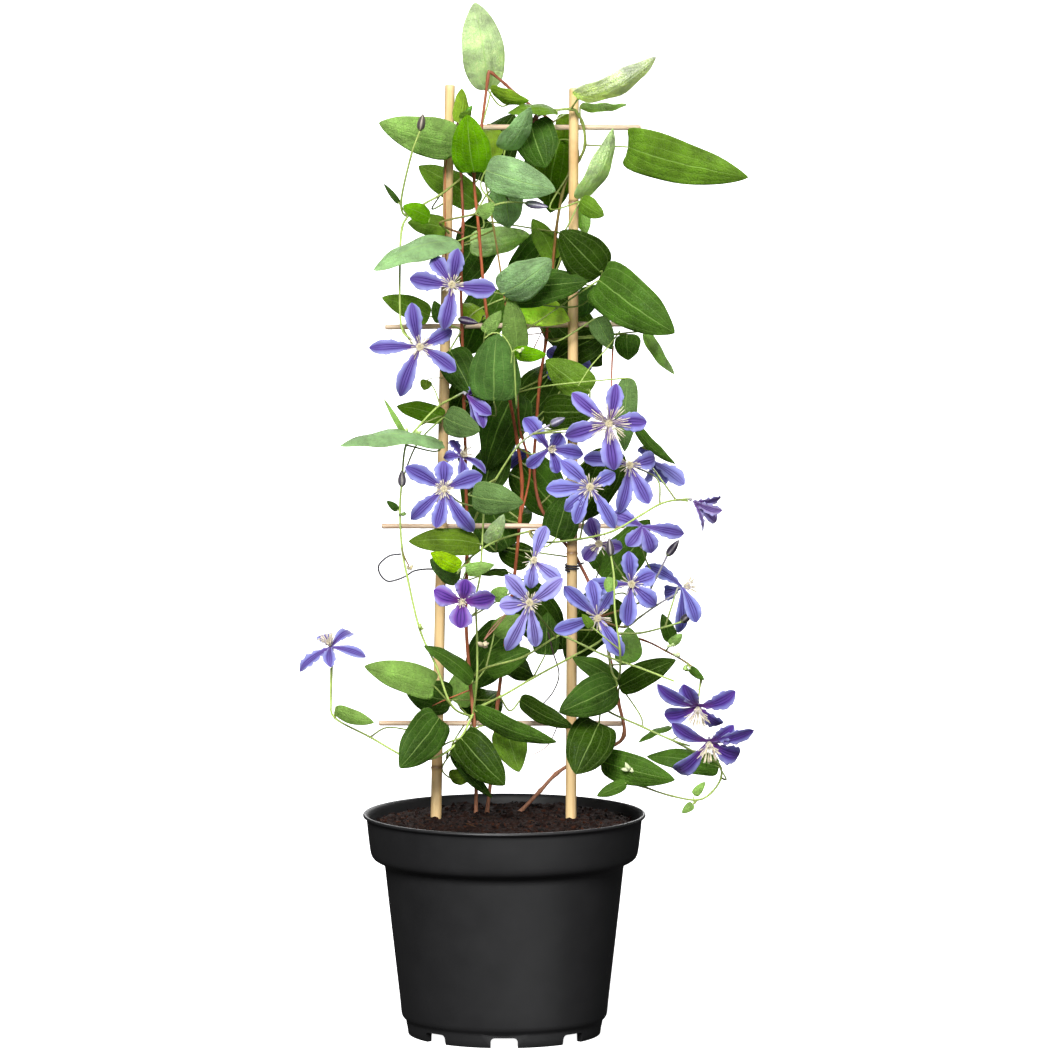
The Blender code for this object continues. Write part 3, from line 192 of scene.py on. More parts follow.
# Flowers: the place of the middle, the way it faces (right, up, near), the width, the stamens' length,
# spread and number, each tepal's tip with how much nearer than the middle it is, the colour, and how much
# magenta its heart has.
FLOWERS = {
    "flower_01": ((452, 285, 44), (0.0, 0.15, 1.0), 12.0, (9, 62, 26),
                  [(458, 249, 6), (410, 278, 4), (496, 289, 6), (444, 329, 8), (433, 257, -10)],
                  "#746ab8", 0.3),
    "flower_02": ((420, 347, 34), (0.0, 0.1, 1.0), 12.0, (10, 62, 26),
                  [(412, 303, 4), (452, 330, 2), (369, 348, 2), (456, 371, 6), (400, 396, 8)],
                  "#6e68b6", 0.3),
    "flower_03": ((467, 395, 27), (0.75, -0.6, 0.2), 9.0, None,
                  [(477, 428, -6), (491, 414, 8), (484, 428, 6), (476, 385, 0)], "#8a72cc", 0.7),
    "flower_04": ((461, 457, 14), (0.5, 0.55, 0.6), 9.0, (9, 30, 22),
                  [(450, 440, -4), (444, 457, 6), (486, 472, 6), (463, 480, 12)], "#6a62b8", 0.3),
    "flower_05": ((444, 489, 42), (0.0, 0.1, 1.0), 12.0, (8, 62, 30),
                  [(406, 467, 4), (444, 461, 2), (482, 475, 4), (474, 532, 0), (436, 528, 6),
                   (411, 519, 6)], "#7a78cc", 0.25),
    "flower_06": ((462, 601, 44), (0.05, -0.1, 1.0), 16.0, (6, 30, 14),
                  [(466, 579, 6), (434, 591, 4), (495, 597, 4), (460, 628, 8)], "#8842b0", 1.0),
    "flower_07": ((529, 603, 74), (0.1, 0.2, 1.0), 12.0, (9, 62, 26),
                  [(506, 576, 6), (499, 606, 4), (562, 579, 8), (506, 651, 2), (536, 647, -4)],
                  "#b6b4f2", 0.3),
    "flower_08": ((534, 561, 50), (0.0, 0.3, 1.0), 12.0, (8, 60, 14),
                  [(546, 526, -4), (530, 588, 4), (560, 581, 6)], "#b2b4f6", 0.3),
    "flower_09": ((549, 449, 36), (0.4, 0.1, 0.9), 11.0, (6, 20, 22),
                  [(525, 417, -4), (561, 433, 4), (583, 454, 4), (558, 473, 2), (527, 467, 0)],
                  "#7470ca", 0.3),
    "flower_10": ((609, 423, 80), (0.0, 0.0, 1.0), 13.5, (17, 66, 46),
                  [(572, 393, 4), (616, 384, 2), (647, 422, 4), (614, 470, 6), (565, 436, 4)],
                  "#9488dc", 0.8),
    "flower_11": ((590, 487, 84), (0.0, 0.1, 1.0), 11.5, (10, 62, 26),
                  [(561, 461, 4), (546, 489, 4), (565, 510, 6), (575, 524, 6), (615, 528, 4),
                   (615, 473, 0)], "#8c90e0", 0.2),
    "flower_12": ((629, 465, 60), (0.1, 0.1, 1.0), 11.5, (9, 60, 24),
                  [(583, 458, -4), (619, 513, 8), (649, 504, 6), (656, 458, -6)], "#8682d2", 0.3),
    "flower_13": ((650, 461, 18), (0.5, -0.2, -0.6), 10.0, None,
                  [(685, 484, 2), (666, 484, -6), (645, 482, -14), (640, 447, 4)], "#7476c6", 0.2),
    "flower_14": ((642, 526, 62), (0.2, 0.0, 1.0), 11.5, None,
                  [(684, 534, 2), (628, 546, 6), (612, 514, 0), (652, 553, 2)], "#827ac8", 0.3),
    "flower_15": ((600, 543, 42), (-0.2, 0.0, 1.0), 11.5, (9, 62, 22),
                  [(590, 518, 2), (584, 560, 4), (622, 548, 4)], "#8a78b4", 0.6),
    "flower_16": ((631, 584, 66), (0.1, 0.1, 1.0), 12.0, (9, 62, 14),
                  [(629, 552, 4), (585, 589, -6), (655, 574, 2), (656, 605, 4), (627, 626, 6)],
                  "#8084d4", 0.3),
    "flower_17": ((597, 616, 72), (0.1, -0.3, 1.0), 12.0, (11, 60, 26),
                  [(564, 586, 4), (591, 580, -2), (613, 590, 2), (554, 631, 6), (622, 656, 6)],
                  "#868ada", 0.2),
    "flower_18": ((682, 587, 30), (1.0, 0.2, 0.1), 10.0, (10, 40, 20),
                  [(646, 566, 6), (664, 593, -12), (697, 622, 8), (680, 634, -6)], "#7880cc", 0.1),
    "flower_19": ((693, 501, 86), (0.8, -0.45, 0.2), 9.0, None,
                  [(721, 497, -4), (721, 512, 8), (703, 531, 4), (717, 522, -8)], "#c0aad8", 0.6),
    "flower_20": ((698, 706, 30), (-0.05, -0.75, 0.65), 12.0, (15, 34, 34),
                  [(658, 687, 12), (684, 684, 14), (735, 693, 8), (664, 716, -7), (721, 725, -13)],
                  "#5e4cb0", 0.8),
    "flower_21": ((709, 741, 40), (0.0, -0.7, 0.7), 13.0, (15, 32, 34),
                  [(672, 723, 10), (733, 727, 9), (754, 730, 7), (674, 773, -20), (740, 756, -11)],
                  "#604eb2", 0.8),
    "flower_22": ((331, 647, 24), (-0.35, 0.9, 0.3), 10.0, (10, 34, 24),
                  [(299, 670, 6), (322, 635, -10), (354, 631, -16), (366, 657, 4), (330, 666, 16)],
                  "#7c7ac4", 0.3),
    "flower_23": ((566, 362, -52), (0.3, 0.2, -1.0), 11.0, (10, 60, 20),
                  [(547, 350, 0), (578, 342, -6), (592, 368, -4), (570, 388, -4), (548, 378, -6)],
                  "#5f5eb8", 0.3),
    "flower_24": ((505, 470, -62), (0.0, 0.2, -1.0), 12.0, None,
                  [(480, 450, -4), (506, 432, -6), (530, 452, -4), (526, 494, -6), (486, 500, -4)],
                  "#5f5eb8", 0.3),
}

# Leaves: base column, base row, tip column, tip row, nearness of the base, how much nearer the tip is,
# width in millimetres, roll in degrees about the midrib.
LEAVES = [
    (488, 90, 476, 4, -14, 26, 29, 10), (491, 91, 528, 102, 2, 16, 15, 50),
    (556, 110, 508, 111, 6, 19, 15, 60), (459, 123, 463, 88, -2, -10, 12, 30),
    (474, 172, 467, 116, 20, 16, 27, -12), (458, 144, 380, 124, 8, 22, 28, -10),
    (478, 204, 418, 164, -34, -22, 22, 18), (490, 160, 486, 122, -34, -30, 24, -24),
    (505, 150, 531, 109, 10, 10, 19, 30), (531, 123, 545, 167, 2, 16, 30, 16),
    (486, 170, 555, 191, 28, 10, 27, 10), (560, 140, 548, 214, -44, -18, 32, 28),
    (503, 187, 510, 229, 2, -13, 24, -8), (566, 114, 563, 149, -30, -26, 14, -14),
    (578, 99, 656, 61, 8, 38, 24, 48), (580, 107, 627, 107, -14, 10, 16, 68),
    (628, 147, 745, 178, 20, 48, 31, 12), (581, 199, 615, 131, -6, 16, 20, 45),
    (580, 201, 603, 216, 2, 13, 14, 20), (580, 205, 586, 234, -28, 6, 13, 20),
    (555, 259, 533, 218, -26, -6, 17, 20), (602, 274, 561, 232, 26, 16, 31, 0),
    (599, 280, 673, 333, 36, 26, 36, 10), (502, 294, 551, 261, 34, 19, 28, 20),
    (508, 292, 586, 281, 12, 26, 26, -10), (508, 297, 570, 320, 2, 13, 26, -12),
    (517, 356, 511, 298, 18, 0, 18, 16), (494, 401, 496, 333, 40, 6, 35, -8),
    (450, 350, 472, 394, 2, 16, 24, 0), (514, 353, 545, 355, 52, 16, 11, 15),
    (430, 316, 383, 297, 0, 13, 17, 15), (481, 321, 461, 302, -30, -22, 13, 18),
    (442, 417, 396, 405, -6, -13, 14, 20), (442, 442, 341, 441, -4, 32, 26, 66),
    (444, 417, 478, 431, 18, 13, 20, 10), (484, 492, 502, 433, -34, -30, 28, -24),
    (472, 496, 523, 503, 58, 10, 22, 10), (480, 544, 410, 540, 34, 22, 20, 25),
    (460, 568, 431, 553, 50, 10, 12, -12), (488, 544, 504, 515, 12, 6, 12, 20),
    (460, 578, 431, 560, 4, 6, 17, 16), (434, 686, 366, 666, 26, 22, 22, 10),
    (473, 680, 426, 645, 2, 6, 15, 35), (458, 704, 470, 666, -30, -18, 22, 28),
    (452, 700, 407, 693, -8, 0, 24, -8), (470, 716, 500, 690, -44, -26, 28, -14),
    (475, 710, 554, 744, 12, 35, 17, 35), (505, 726, 519, 771, -8, 19, 23, 0),
    (461, 738, 504, 785, 20, 16, 27, 10), (439, 718, 401, 767, 26, 26, 28, -12),
    (420, 733, 399, 752, -6, 6, 13, 16), (452, 750, 491, 799, 6, 6, 11, 30),
    (450, 778, 471, 775, -6, 13, 12, 20), (616, 686, 560, 712, 34, 16, 27, -8),
    (599, 723, 576, 773, 28, 22, 32, 0), (601, 761, 673, 780, 8, 29, 22, 10),
    (719, 767, 647, 755, 2, 0, 18, 25), (619, 687, 674, 660, 6, 26, 18, -12),
    (628, 664, 629, 628, 14, 10, 19, 16), (618, 683, 573, 656, 4, 10, 17, 30),
    (335, 710, 373, 723, 26, 16, 11, 20), (590, 392, 545, 360, 10, -6, 24, -8),
    (543, 412, 594, 412, -2, 6, 24, 0), (628, 378, 624, 452, 20, 0, 16, 10),
    (645, 331, 673, 375, 2, 10, 11, 40), (627, 334, 628, 360, -24, 6, 18, 10),
    (600, 336, 550, 362, -36, -22, 24, 18), (596, 318, 612, 349, -4, 6, 15, -12),
    (590, 286, 584, 320, -34, -30, 18, -24), (458, 241, 374, 266, 16, 35, 25, 52),
    (446, 228, 408, 222, -2, 6, 17, 20), (430, 218, 404, 206, 20, 13, 13, 16),
    (470, 244, 531, 236, -32, -18, 22, 28), (556, 538, 570, 493, -2, 10, 25, -8),
    (506, 520, 534, 512, -40, -26, 16, -14), (545, 655, 548, 612, -2, -6, 18, 0),
    (530, 560, 497, 548, -42, -22, 20, 18), (494, 634, 520, 616, 8, 10, 15, 10),
    (486, 668, 530, 650, -6, 6, 20, -12), (520, 700, 572, 728, 2, 22, 15, 25),
    (500, 660, 536, 676, -38, -30, 18, -24), (516, 392, 484, 470, -36, -18, 36, 28),
    (486, 370, 450, 432, -34, -26, 32, -14), (520, 462, 566, 520, -46, -22, 36, 18),
    (520, 420, 572, 352, -52, -30, 36, -24), (508, 548, 464, 470, -50, -18, 36, 28),
    (516, 590, 566, 650, -52, -26, 34, -14), (508, 630, 464, 690, -52, -22, 34, 18),
    (612, 450, 572, 530, -44, -30, 34, -24), (604, 580, 652, 520, -40, -18, 32, 28),
    (610, 596, 566, 664, -44, -26, 34, -14), (552, 240, 508, 300, -52, -22, 34, 18),
    (548, 306, 606, 366, -56, -30, 36, -24), (490, 222, 452, 290, -48, -18, 34, 28),
    (478, 180, 514, 112, -52, -26, 32, -14), (498, 290, 462, 356, -50, -22, 34, 18),
    (562, 196, 526, 140, -56, -30, 32, -24),
]
# One letter a leaf: its tone in LEAF_TONES_AND_PAINTED_LIGHT.
LEAF_LETTERS = (
    "pqnqbhnqge" "gcgqwunpnh" "ndmgexsveb" "nqcgkekolp" "ksmhedmnde"
    "ceoedmmdhm" "sndkumdkvg" "nbuemedsmd" "dedmdededm" "dededme"
)
# Young leaves too small for the frame, in the same form, each with its tone.
YOUNG_LEAVES = [
    ((442, 322, 434, 301, 8, 4, 10, 0), "m"), ((485, 333, 501, 311, 46, 4, 10, 10), "h"),
    ((466, 571, 494, 565, 48, 6, 10, 15), "h"), ((508, 572, 481, 574, -2, 4, 8, 50), "d"),
    ((626, 783, 597, 796, 22, 6, 9, 0), "m"), ((694, 795, 705, 782, 18, 2, 6, 0), "h"),
    ((693, 804, 682, 813, 18, 2, 6, 0), "h"), ((672, 641, 662, 614, 20, 4, 10, 0), "m"),
    ((671, 727, 638, 741, 8, 6, 9, 60), "m"), ((636, 428, 674, 465, 38, 10, 10, 40), "m"),
    ((480, 216, 494, 203, 36, 4, 10, 0), "h"), ((613, 578, 607, 592, 96, 2, 9, 0), "h"),
    ((600, 566, 588, 552, 8, 4, 10, 20), "m"), ((493, 598, 508, 588, 6, 4, 10, 0), "h"),
    ((406, 437, 384, 399, 20, 6, 4, 0), "h"), ((398, 510, 387, 501, 18, 4, 5, 0), "e"),
    ((399, 203, 384, 184, 20, 4, 4, 0), "e"), ((427, 380, 424, 390, 14, 4, 8, 0), "o"),
    ((592, 627, 582, 614, 84, 2, 6, 0), "n"), ((670, 645, 682, 634, 30, 4, 7, 20), "h"),
    ((690, 668, 704, 680, 28, 4, 6, 20), "m"), ((461, 119, 471, 111, 4, 4, 7, 30), "n"),
]
# Thin shoots and tendrils too fine for the frame: their stem, tones, thickness and places.
TWIGS = [
    ("stem_middle", ("young", "young"), 0.5, [(485, 338, 54), (492, 333, 55), (501, 334, 56), (508, 342, 56),
                                              (512, 352, 56), (511, 363, 55)]),
    ("stem_middle", ("young", "green"), 0.5, [(512, 352, 56), (518, 349, 56), (524, 352, 55)]),
    ("stem_right", ("young", "young"), 0.55, [(620, 331, -8), (608, 347, 6), (592, 365, 22), (578, 386, 34)]),
    ("stem_right", ("red", "red"), 0.75, [(613, 346, -4), (612, 364, -5), (611, 398, -6)]),
    ("stem_middle", ("red", "brown"), 0.5, [(519, 334, -16), (534, 334, -16), (551, 331, -18)]),
    ("stem_middle", ("red", "red"), 0.45, [(534, 348, -18), (543, 329, -18)]),
    ("stem_right", ("dark", "dark"), 0.65, [(548, 632, 0), (553, 652, 6), (559, 674, 8), (553, 692, 6),
                                              (540, 707, 0)]),
    ("stem_left", ("brown", "bark"), 0.5, [(484, 640, 40), (492, 628, 38), (506, 613, 34)]),
    ("stem_left", ("bark", "brown"), 0.5, [(484, 640, 40), (497, 626, 38), (512, 607, 36)]),
    ("stem_left", ("olive", "brown"), 0.75, [(402, 548, 19), (404, 556, 21), (409, 566, 21)]),
    ("stem_left", ("olive", "olive"), 0.4, [(443, 378, 6), (433, 378, 12), (427, 380, 14)]),
    ("stem_left", ("red", "red"), 0.5, [(470, 690, 4), (445, 700, 12), (432, 706, 14)]),
    ("stem_left", ("red", "red"), 0.55, [(446, 265, -3), (445, 200, -2), (446, 165, -2), (452, 140, -1)]),
    ("stem_right", ("brown", "brown"), 0.4, [(560, 720, 0), (548, 745, -4), (531, 756, -8)]),
]
# Tufts of small bud scales: their stem, place, count, length in millimetres and tone.
TUFTS = [
    ("stem_middle", (521, 350, 57), 5, 4.0, "#dfe8b4"), ("stem_middle", (535, 352, 54), 3, 3.5, "#cfe08a"),
    ("stem_left", (459, 128, 4), 5, 4.5, "#6a4a30"), ("stem_middle", (535, 120, 8), 6, 4.5, "#7c4a38"),
    ("stem_left", (406, 432, 22), 5, 4.0, "#c4d88e"), ("stem_left", (417, 434, 22), 4, 4.0, "#b4cc80"),
    ("stem_left", (410, 569, 20), 4, 3.5, "#cfc49a"), ("stem_left", (483, 646, 42), 5, 6.0, "#e6d6b0"),
    ("stem_right", (672, 646, 30), 4, 4.5, "#cfe6a0"), ("stem_right", (678, 656, 30), 4, 4.5, "#dcecb8"),
    ("stem_right", (684, 668, 28), 3, 4.5, "#b6d878"), ("stem_right", (629, 770, 26), 5, 5.5, "#dde8b6"),
    ("stem_right", (643, 548, 64), 4, 4.0, "#e4e6c0"), ("stem_left", (419, 628, 22), 3, 3.5, "#b8d070"),
    ("stem_left", (401, 515, 20), 3, 4.0, "#7c9c50"), ("stem_left", (466, 114, 2), 3, 7.0, "#5c9a14"),
    ("stem_right", (645, 449, 24), 4, 3.2, "#7c8a4a"),
]
# How a leaf may lean or step back along the line of sight, and how a stalk may bend (right, back, up).
LEAF_SHIFTS = (0, 5, -5, 10, -10, 16, -16, 22, -22, 28, -28, 36, -36)
LEAF_LEANS = (0, 12, -12, 24, -24)
STALK_BENDS = [
    (0, 0, -4), (0, 8, -4), (0, -8, -4), (-8, 0, 0), (8, 0, 0), (0, 0, 8), (0, -16, -6),
    (0, 16, -6), (-14, 0, -6), (14, 0, -6), (-12, -12, 0), (12, -12, 0), (-12, 12, 0), (12, 12, 0),
]
SMALL_LEAF = 16.5
# A stalk that takes its own way.
STALK_ROUTES = {53: ("stem_left", [(474, 722, -6), (455, 748, -10), (442, 768, -12)])}
# How far a leaf's lobes reach back past its foot: most are rounded, these are heart-shaped.
ROUND_FOOT = 0.07
HEART_FOOT = 0.15
HEART_LEAVES = (5, 10, 12, 17, 23, 33, 42, 49, 50, 55)


def seen_at(place):
    """The point that is seen at (column, row) of the photograph and stands this near."""
    column, row, nearness = place
    ahead = Vector((0.0, math.cos(EYE_PITCH), -math.sin(EYE_PITCH)))
    upward = Vector((0.0, math.sin(EYE_PITCH), math.cos(EYE_PITCH)))
    sight = ahead + upward * ((MIDDLE_PIXEL - row) / FOCAL_PIXELS)
    sight.x += (column - MIDDLE_PIXEL) / FOCAL_PIXELS
    return EYE + sight * ((-nearness * MM - EYE.y) / sight.y)


def smooth_route(points, step):
    """Points every step or so along a smooth curve through the given ones."""
    ends = [points[0] * 2 - points[1]] + list(points) + [points[-1] * 2 - points[-2]]
    route = [points[0]]
    for before, a, b, after in zip(ends, ends[1:], ends[2:], ends[3:]):
        pieces = max(1, round((b - a).length / step))
        for i in range(1, pieces + 1):
            t = i / pieces
            bend = (before * -1 + a * 3 - b * 3 + after) * t**3
            bend += (before * 2 - a * 5 + b * 4 - after) * t**2
            route.append(a + ((b - before) * t + bend) * 0.5)
    return route


print("frame:", len(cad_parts), "nodes, box", START_BOUNDS)

# %% [markdown]
# ## Modelling helpers
# Each piece starts as a primitive and is worked in edit mode. Round bodies are a circle that is extruded
# and scaled ring by ring, as a lathe or a mould would turn them. Repeats are modelled once, and every copy
# gets its own points.


# %% Modelling helpers
def only(*objects):
    """Selects these objects alone, the first being the active one."""
    bpy.ops.object.select_all(action="DESELECT")
    for obj in objects:
        obj.select_set(True)
    bpy.context.view_layer.objects.active = objects[0]


def named(name):
    """Names the object that an operator has just made."""
    obj = bpy.context.object
    obj.name = obj.data.name = name
    return obj


def tidy(obj, smooth=40):
    """Welds doubles, turns the faces outwards, and shades the round parts smooth."""
    only(obj)
    bpy.ops.object.mode_set(mode="EDIT")
    bpy.ops.mesh.select_all(action="SELECT")
    bpy.ops.mesh.remove_doubles(threshold=0.01 * MM)
    bpy.ops.mesh.normals_make_consistent(inside=False)
    bpy.ops.object.mode_set(mode="OBJECT")
    bpy.ops.object.shade_smooth_by_angle(angle=math.radians(smooth))


def apply(obj, kind, **settings):
    """Adds one modifier with these settings and applies it."""
    modifier = obj.modifiers.new(kind, kind)
    for key, value in settings.items():
        setattr(modifier, key, value)
    only(obj)
    bpy.ops.object.modifier_apply(modifier=modifier.name)


def rings(name, profile, sides, caps=(True, True)):
    """A round body about Z from (radius, height) pairs: a circle extruded and scaled ring by ring."""
    bpy.ops.object.select_all(action="DESELECT")
    bpy.ops.mesh.primitive_circle_add(vertices=sides, radius=profile[0][0])
    obj = named(name)
    bpy.ops.object.mode_set(mode="EDIT")
    bpy.ops.mesh.select_all(action="SELECT")
    bpy.ops.transform.translate(value=(0.0, 0.0, profile[0][1]))
    for (radius, height), (new_radius, new_height) in zip(profile, profile[1:]):
        lift = (0.0, 0.0, new_height - height)
        bpy.ops.mesh.extrude_region_move(TRANSFORM_OT_translate={"value": lift})
        scale = new_radius / radius
        bpy.ops.transform.resize(value=(scale, scale, 1.0), center_override=(0.0, 0.0, 0.0))
    if caps[1]:
        bpy.ops.mesh.edge_face_add()
    bpy.ops.object.mode_set(mode="OBJECT")
    if caps[0]:
        for vert in obj.data.vertices:
            vert.select = vert.index < sides
        bpy.ops.object.mode_set(mode="EDIT")
        bpy.ops.mesh.edge_face_add()
        bpy.ops.object.mode_set(mode="OBJECT")
    tidy(obj)
    return obj


def scaled(profile):
    """The profile in metres."""
    return [(radius * MM, height * MM) for radius, height in profile]


def tube(name, route, radii, sides=8):
    """A round tube along the route, thinner or thicker from point to point: a bevelled curve, converted."""
    curve = bpy.data.curves.new(name, "CURVE")
    curve.dimensions = "3D"
    curve.bevel_depth = 1.0
    curve.bevel_resolution = sides // 2 - 2
    curve.use_fill_caps = True
    line = curve.splines.new("POLY")
    line.points.add(len(route) - 1)
    for point, place, radius in zip(line.points, route, radii):
        point.co = (*place, 1.0)
        point.radius = radius
    obj = bpy.data.objects.new(name, curve)
    bpy.context.collection.objects.link(obj)
    only(obj)
    bpy.ops.object.convert(target="MESH")
    obj = bpy.context.object
    tidy(obj, 75)
    return obj


def joined(name, objects):
    """One piece from these objects."""
    only(*objects)
    if len(objects) > 1:
        bpy.ops.object.join()
    obj = bpy.context.object
    obj.name = obj.data.name = name
    return obj


def points_of(obj):
    """The object's points as an array."""
    places = np.empty(len(obj.data.vertices) * 3)
    obj.data.vertices.foreach_get("co", places)
    return places.reshape(-1, 3)


def paint(obj, tones, name="tone"):
    """Gives each point its own tone: (red, green, blue, share)."""
    layer = obj.data.attributes.new(name, "FLOAT_COLOR", "POINT")
    layer.data.foreach_set("color", np.asarray(tones, dtype=float).reshape(-1))


def copies(name, template, clouds, tones=None):
    """One mesh with a copy of the template for each cloud of points, and a tone for each copy."""
    source = template.data
    count = len(source.vertices)
    faces = [tuple(face.vertices) for face in source.polygons]
    mesh = bpy.data.meshes.new(name)
    places = np.concatenate(clouds).tolist()
    mesh.from_pydata(places, [], [[i + count * k for i in face] for k in range(len(clouds)) for face in faces])
    if source.uv_layers:
        spread = np.empty(len(source.loops) * 2)
        source.uv_layers[0].data.foreach_get("uv", spread)
        mesh.uv_layers.new(name="UVMap").data.foreach_set("uv", np.tile(spread, len(clouds)))
    mesh.shade_smooth()
    obj = bpy.data.objects.new(name, mesh)
    bpy.context.collection.objects.link(obj)
    if tones is not None:
        paint(obj, np.repeat(np.asarray(tones, dtype=float), count, axis=0))
    return obj


def turned(template):
    """The template inside out, for copies whose axes (side, face, along) make a left hand."""
    bpy.ops.object.select_all(action="DESELECT")
    template.select_set(True)
    bpy.context.view_layer.objects.active = template
    bpy.ops.object.mode_set(mode="EDIT")
    bpy.ops.mesh.select_all(action="SELECT")
    bpy.ops.mesh.flip_normals()
    bpy.ops.object.mode_set(mode="OBJECT")
    return template


def clothe(obj, *materials):
    """Gives the object these materials."""
    obj.data.materials.clear()
    for material in materials:
        obj.data.materials.append(material)


def settle(obj, slot, *nodes):
    """The piece rides on the root and stands for these nodes. The slot is not used."""
    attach(obj, "root")
    if nodes:
        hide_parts(*nodes)
    faces = sum(len(face.vertices) - 2 for face in obj.data.polygons)
    print(f"{obj.name}: {faces} triangles")


# %% [markdown]
# ## Colours and nodes
# Every finish is procedural. Patterns are scaled from real sizes: a scale of 400 in a pattern that
# repeats once a unit is a cell of 2.5 mm.


# %% Colours and nodes
def colour(code, share=1.0):
    """The linear colour of an sRGB hex code."""
    parts = [int(code[i : i + 2], 16) / 255 for i in (1, 3, 5)]
    return (*[p / 12.92 if p <= 0.04045 else ((p + 0.055) / 1.055) ** 2.4 for p in parts], share)


def add(tree, kind, inputs=None, **settings):
    """Adds a node with its settings. Each input is a constant or another node's output."""
    node = tree.nodes.new("ShaderNode" + kind)
    for key, value in settings.items():
        setattr(node, key, value)
    for key, value in (inputs or {}).items():
        if isinstance(value, bpy.types.NodeSocket):
            tree.links.new(value, node.inputs[key])
        else:
            node.inputs[key].default_value = value
    return node


def new_finish(name, **sockets):
    """A material with its node tree and its main shader, whose sockets have these constants."""
    material = bpy.data.materials.new(name)
    material.use_nodes = True
    tree = material.node_tree
    shader = tree.nodes["Principled BSDF"]
    for key, value in sockets.items():
        shader.inputs[key.replace("_", " ")].default_value = value
    return material, tree, shader


# %% [markdown]
# ## Camera, floor and light
# The photograph is taken from six metres with a long lens, slightly above the pot's rim. The light is
# soft and comes from the front and from above, over a white table that glows a little.

# %% Camera, floor and light
scene = bpy.context.scene
camera_data = bpy.data.cameras.new("camera")
camera_data.sensor_width = SENSOR_WIDTH
camera_data.lens = FOCAL_PIXELS / IMAGE_PIXELS * SENSOR_WIDTH
camera_data.clip_end = 300.0
camera = bpy.data.objects.new("camera", camera_data)
camera.location = EYE
camera.rotation_euler = (math.pi / 2 - EYE_PITCH, 0.0, 0.0)
scene.collection.objects.link(camera)
scene.camera = camera
scene.view_settings.view_transform = "Standard"

bpy.ops.object.select_all(action="DESELECT")
bpy.ops.mesh.primitive_plane_add(size=200.0, location=(0.0, 0.0, 0.0))
floor = named("white_table")
floor_finish, tree, shader = new_finish("white_table", Base_Color=(0.9, 0.9, 0.9, 1.0), Roughness=0.8)
shader.inputs["Emission Color"].default_value = (1.0, 1.0, 1.0, 1.0)
shader.inputs["Emission Strength"].default_value = 1.0
clothe(floor, floor_finish)
floor.visible_glossy = False
floor.visible_diffuse = False
floor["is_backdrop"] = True

world = bpy.data.worlds.new("studio")
scene.world = world
world.use_nodes = True
tree = world.node_tree
across = add(tree, "SeparateXYZ", {0: add(tree, "TexCoord").outputs["Generated"]})
front = add(tree, "MapRange", {"Value": across.outputs["Y"], "From Min": 0.1, "From Max": -0.8,
                               "To Min": 0.6, "To Max": 1.42}, interpolation_type="SMOOTHSTEP")
tree.links.new(front.outputs[0], tree.nodes["Background"].inputs["Strength"])

for name, place, power, angle in (("key", (-1.0, -4.6, 3.4), 4.6, 25), ("fill", (2.6, -4.4, 1.0), 0.9, 60),
                                  ("back", (0.6, 4.4, 2.6), 1.7, 40)):
    sun = bpy.data.lights.new(name, "SUN")
    sun.energy = power
    sun.angle = math.radians(angle)
    lamp = bpy.data.objects.new(name, sun)
    lamp.rotation_euler = Vector(place).to_track_quat("Z", "Y").to_euler()
    scene.collection.objects.link(lamp)
print("camera lens", round(camera_data.lens, 1), "mm")

# %% [markdown]
# ## The pot
# A thin injection-moulded nursery pot of recycled black polypropylene: a rolled lip, a collar with a
# rounded shoulder, a tapered wall, a step near the foot and a ring of feet with notches between them for
# the water. It is drawn up ring by ring from the floor over the lip and down to the foot, then the notches
# and the drain holes are cut. The satin of the mould shows as a very fine grain.

# %% The pot
POT_SIDES = 128
POT_PROFILE = [
    (20.0, 9.0), (60.5, 9.0), (62.4, 9.5), (63.8, 11.0), (66.9, 14.3), (72.2, 62.0), (78.3, 113.6),
    (79.6, 115.6), (85.6, 119.4), (87.0, 121.2), (88.3, 129.0), (90.6, 145.8), (91.8, 147.7),
    (92.7, 148.7), (93.5, 149.2), (94.3, 149.1), (94.8, 148.6), (95.0, 148.0), (94.8, 147.4),
    (94.2, 146.9), (93.2, 146.5), (92.7, 145.8), (92.4, 143.9), (91.7, 136.6), (90.8, 128.8),
    (90.2, 124.6), (89.7, 122.2), (89.0, 120.5), (87.9, 119.2), (86.4, 118.2), (84.2, 117.2),
    (82.2, 116.2), (81.0, 115.0), (80.4, 113.6), (80.1, 111.4), (77.8, 90.0), (75.3, 68.0),
    (72.8, 46.0), (70.4, 25.0), (69.4, 14.6), (68.9, 12.6), (68.0, 11.2), (66.9, 10.2), (66.3, 9.2),
    (66.1, 8.0), (65.8, 5.0), (65.2, 1.0), (64.7, 0.2), (64.0, 0.0), (61.2, 0.0), (60.6, 0.3),
    (60.3, 6.2), (59.8, 7.0), (58.8, 7.2), (20.0, 7.2),
]
FOOT_NOTCHES = 8
DRAIN_HOLES = 4

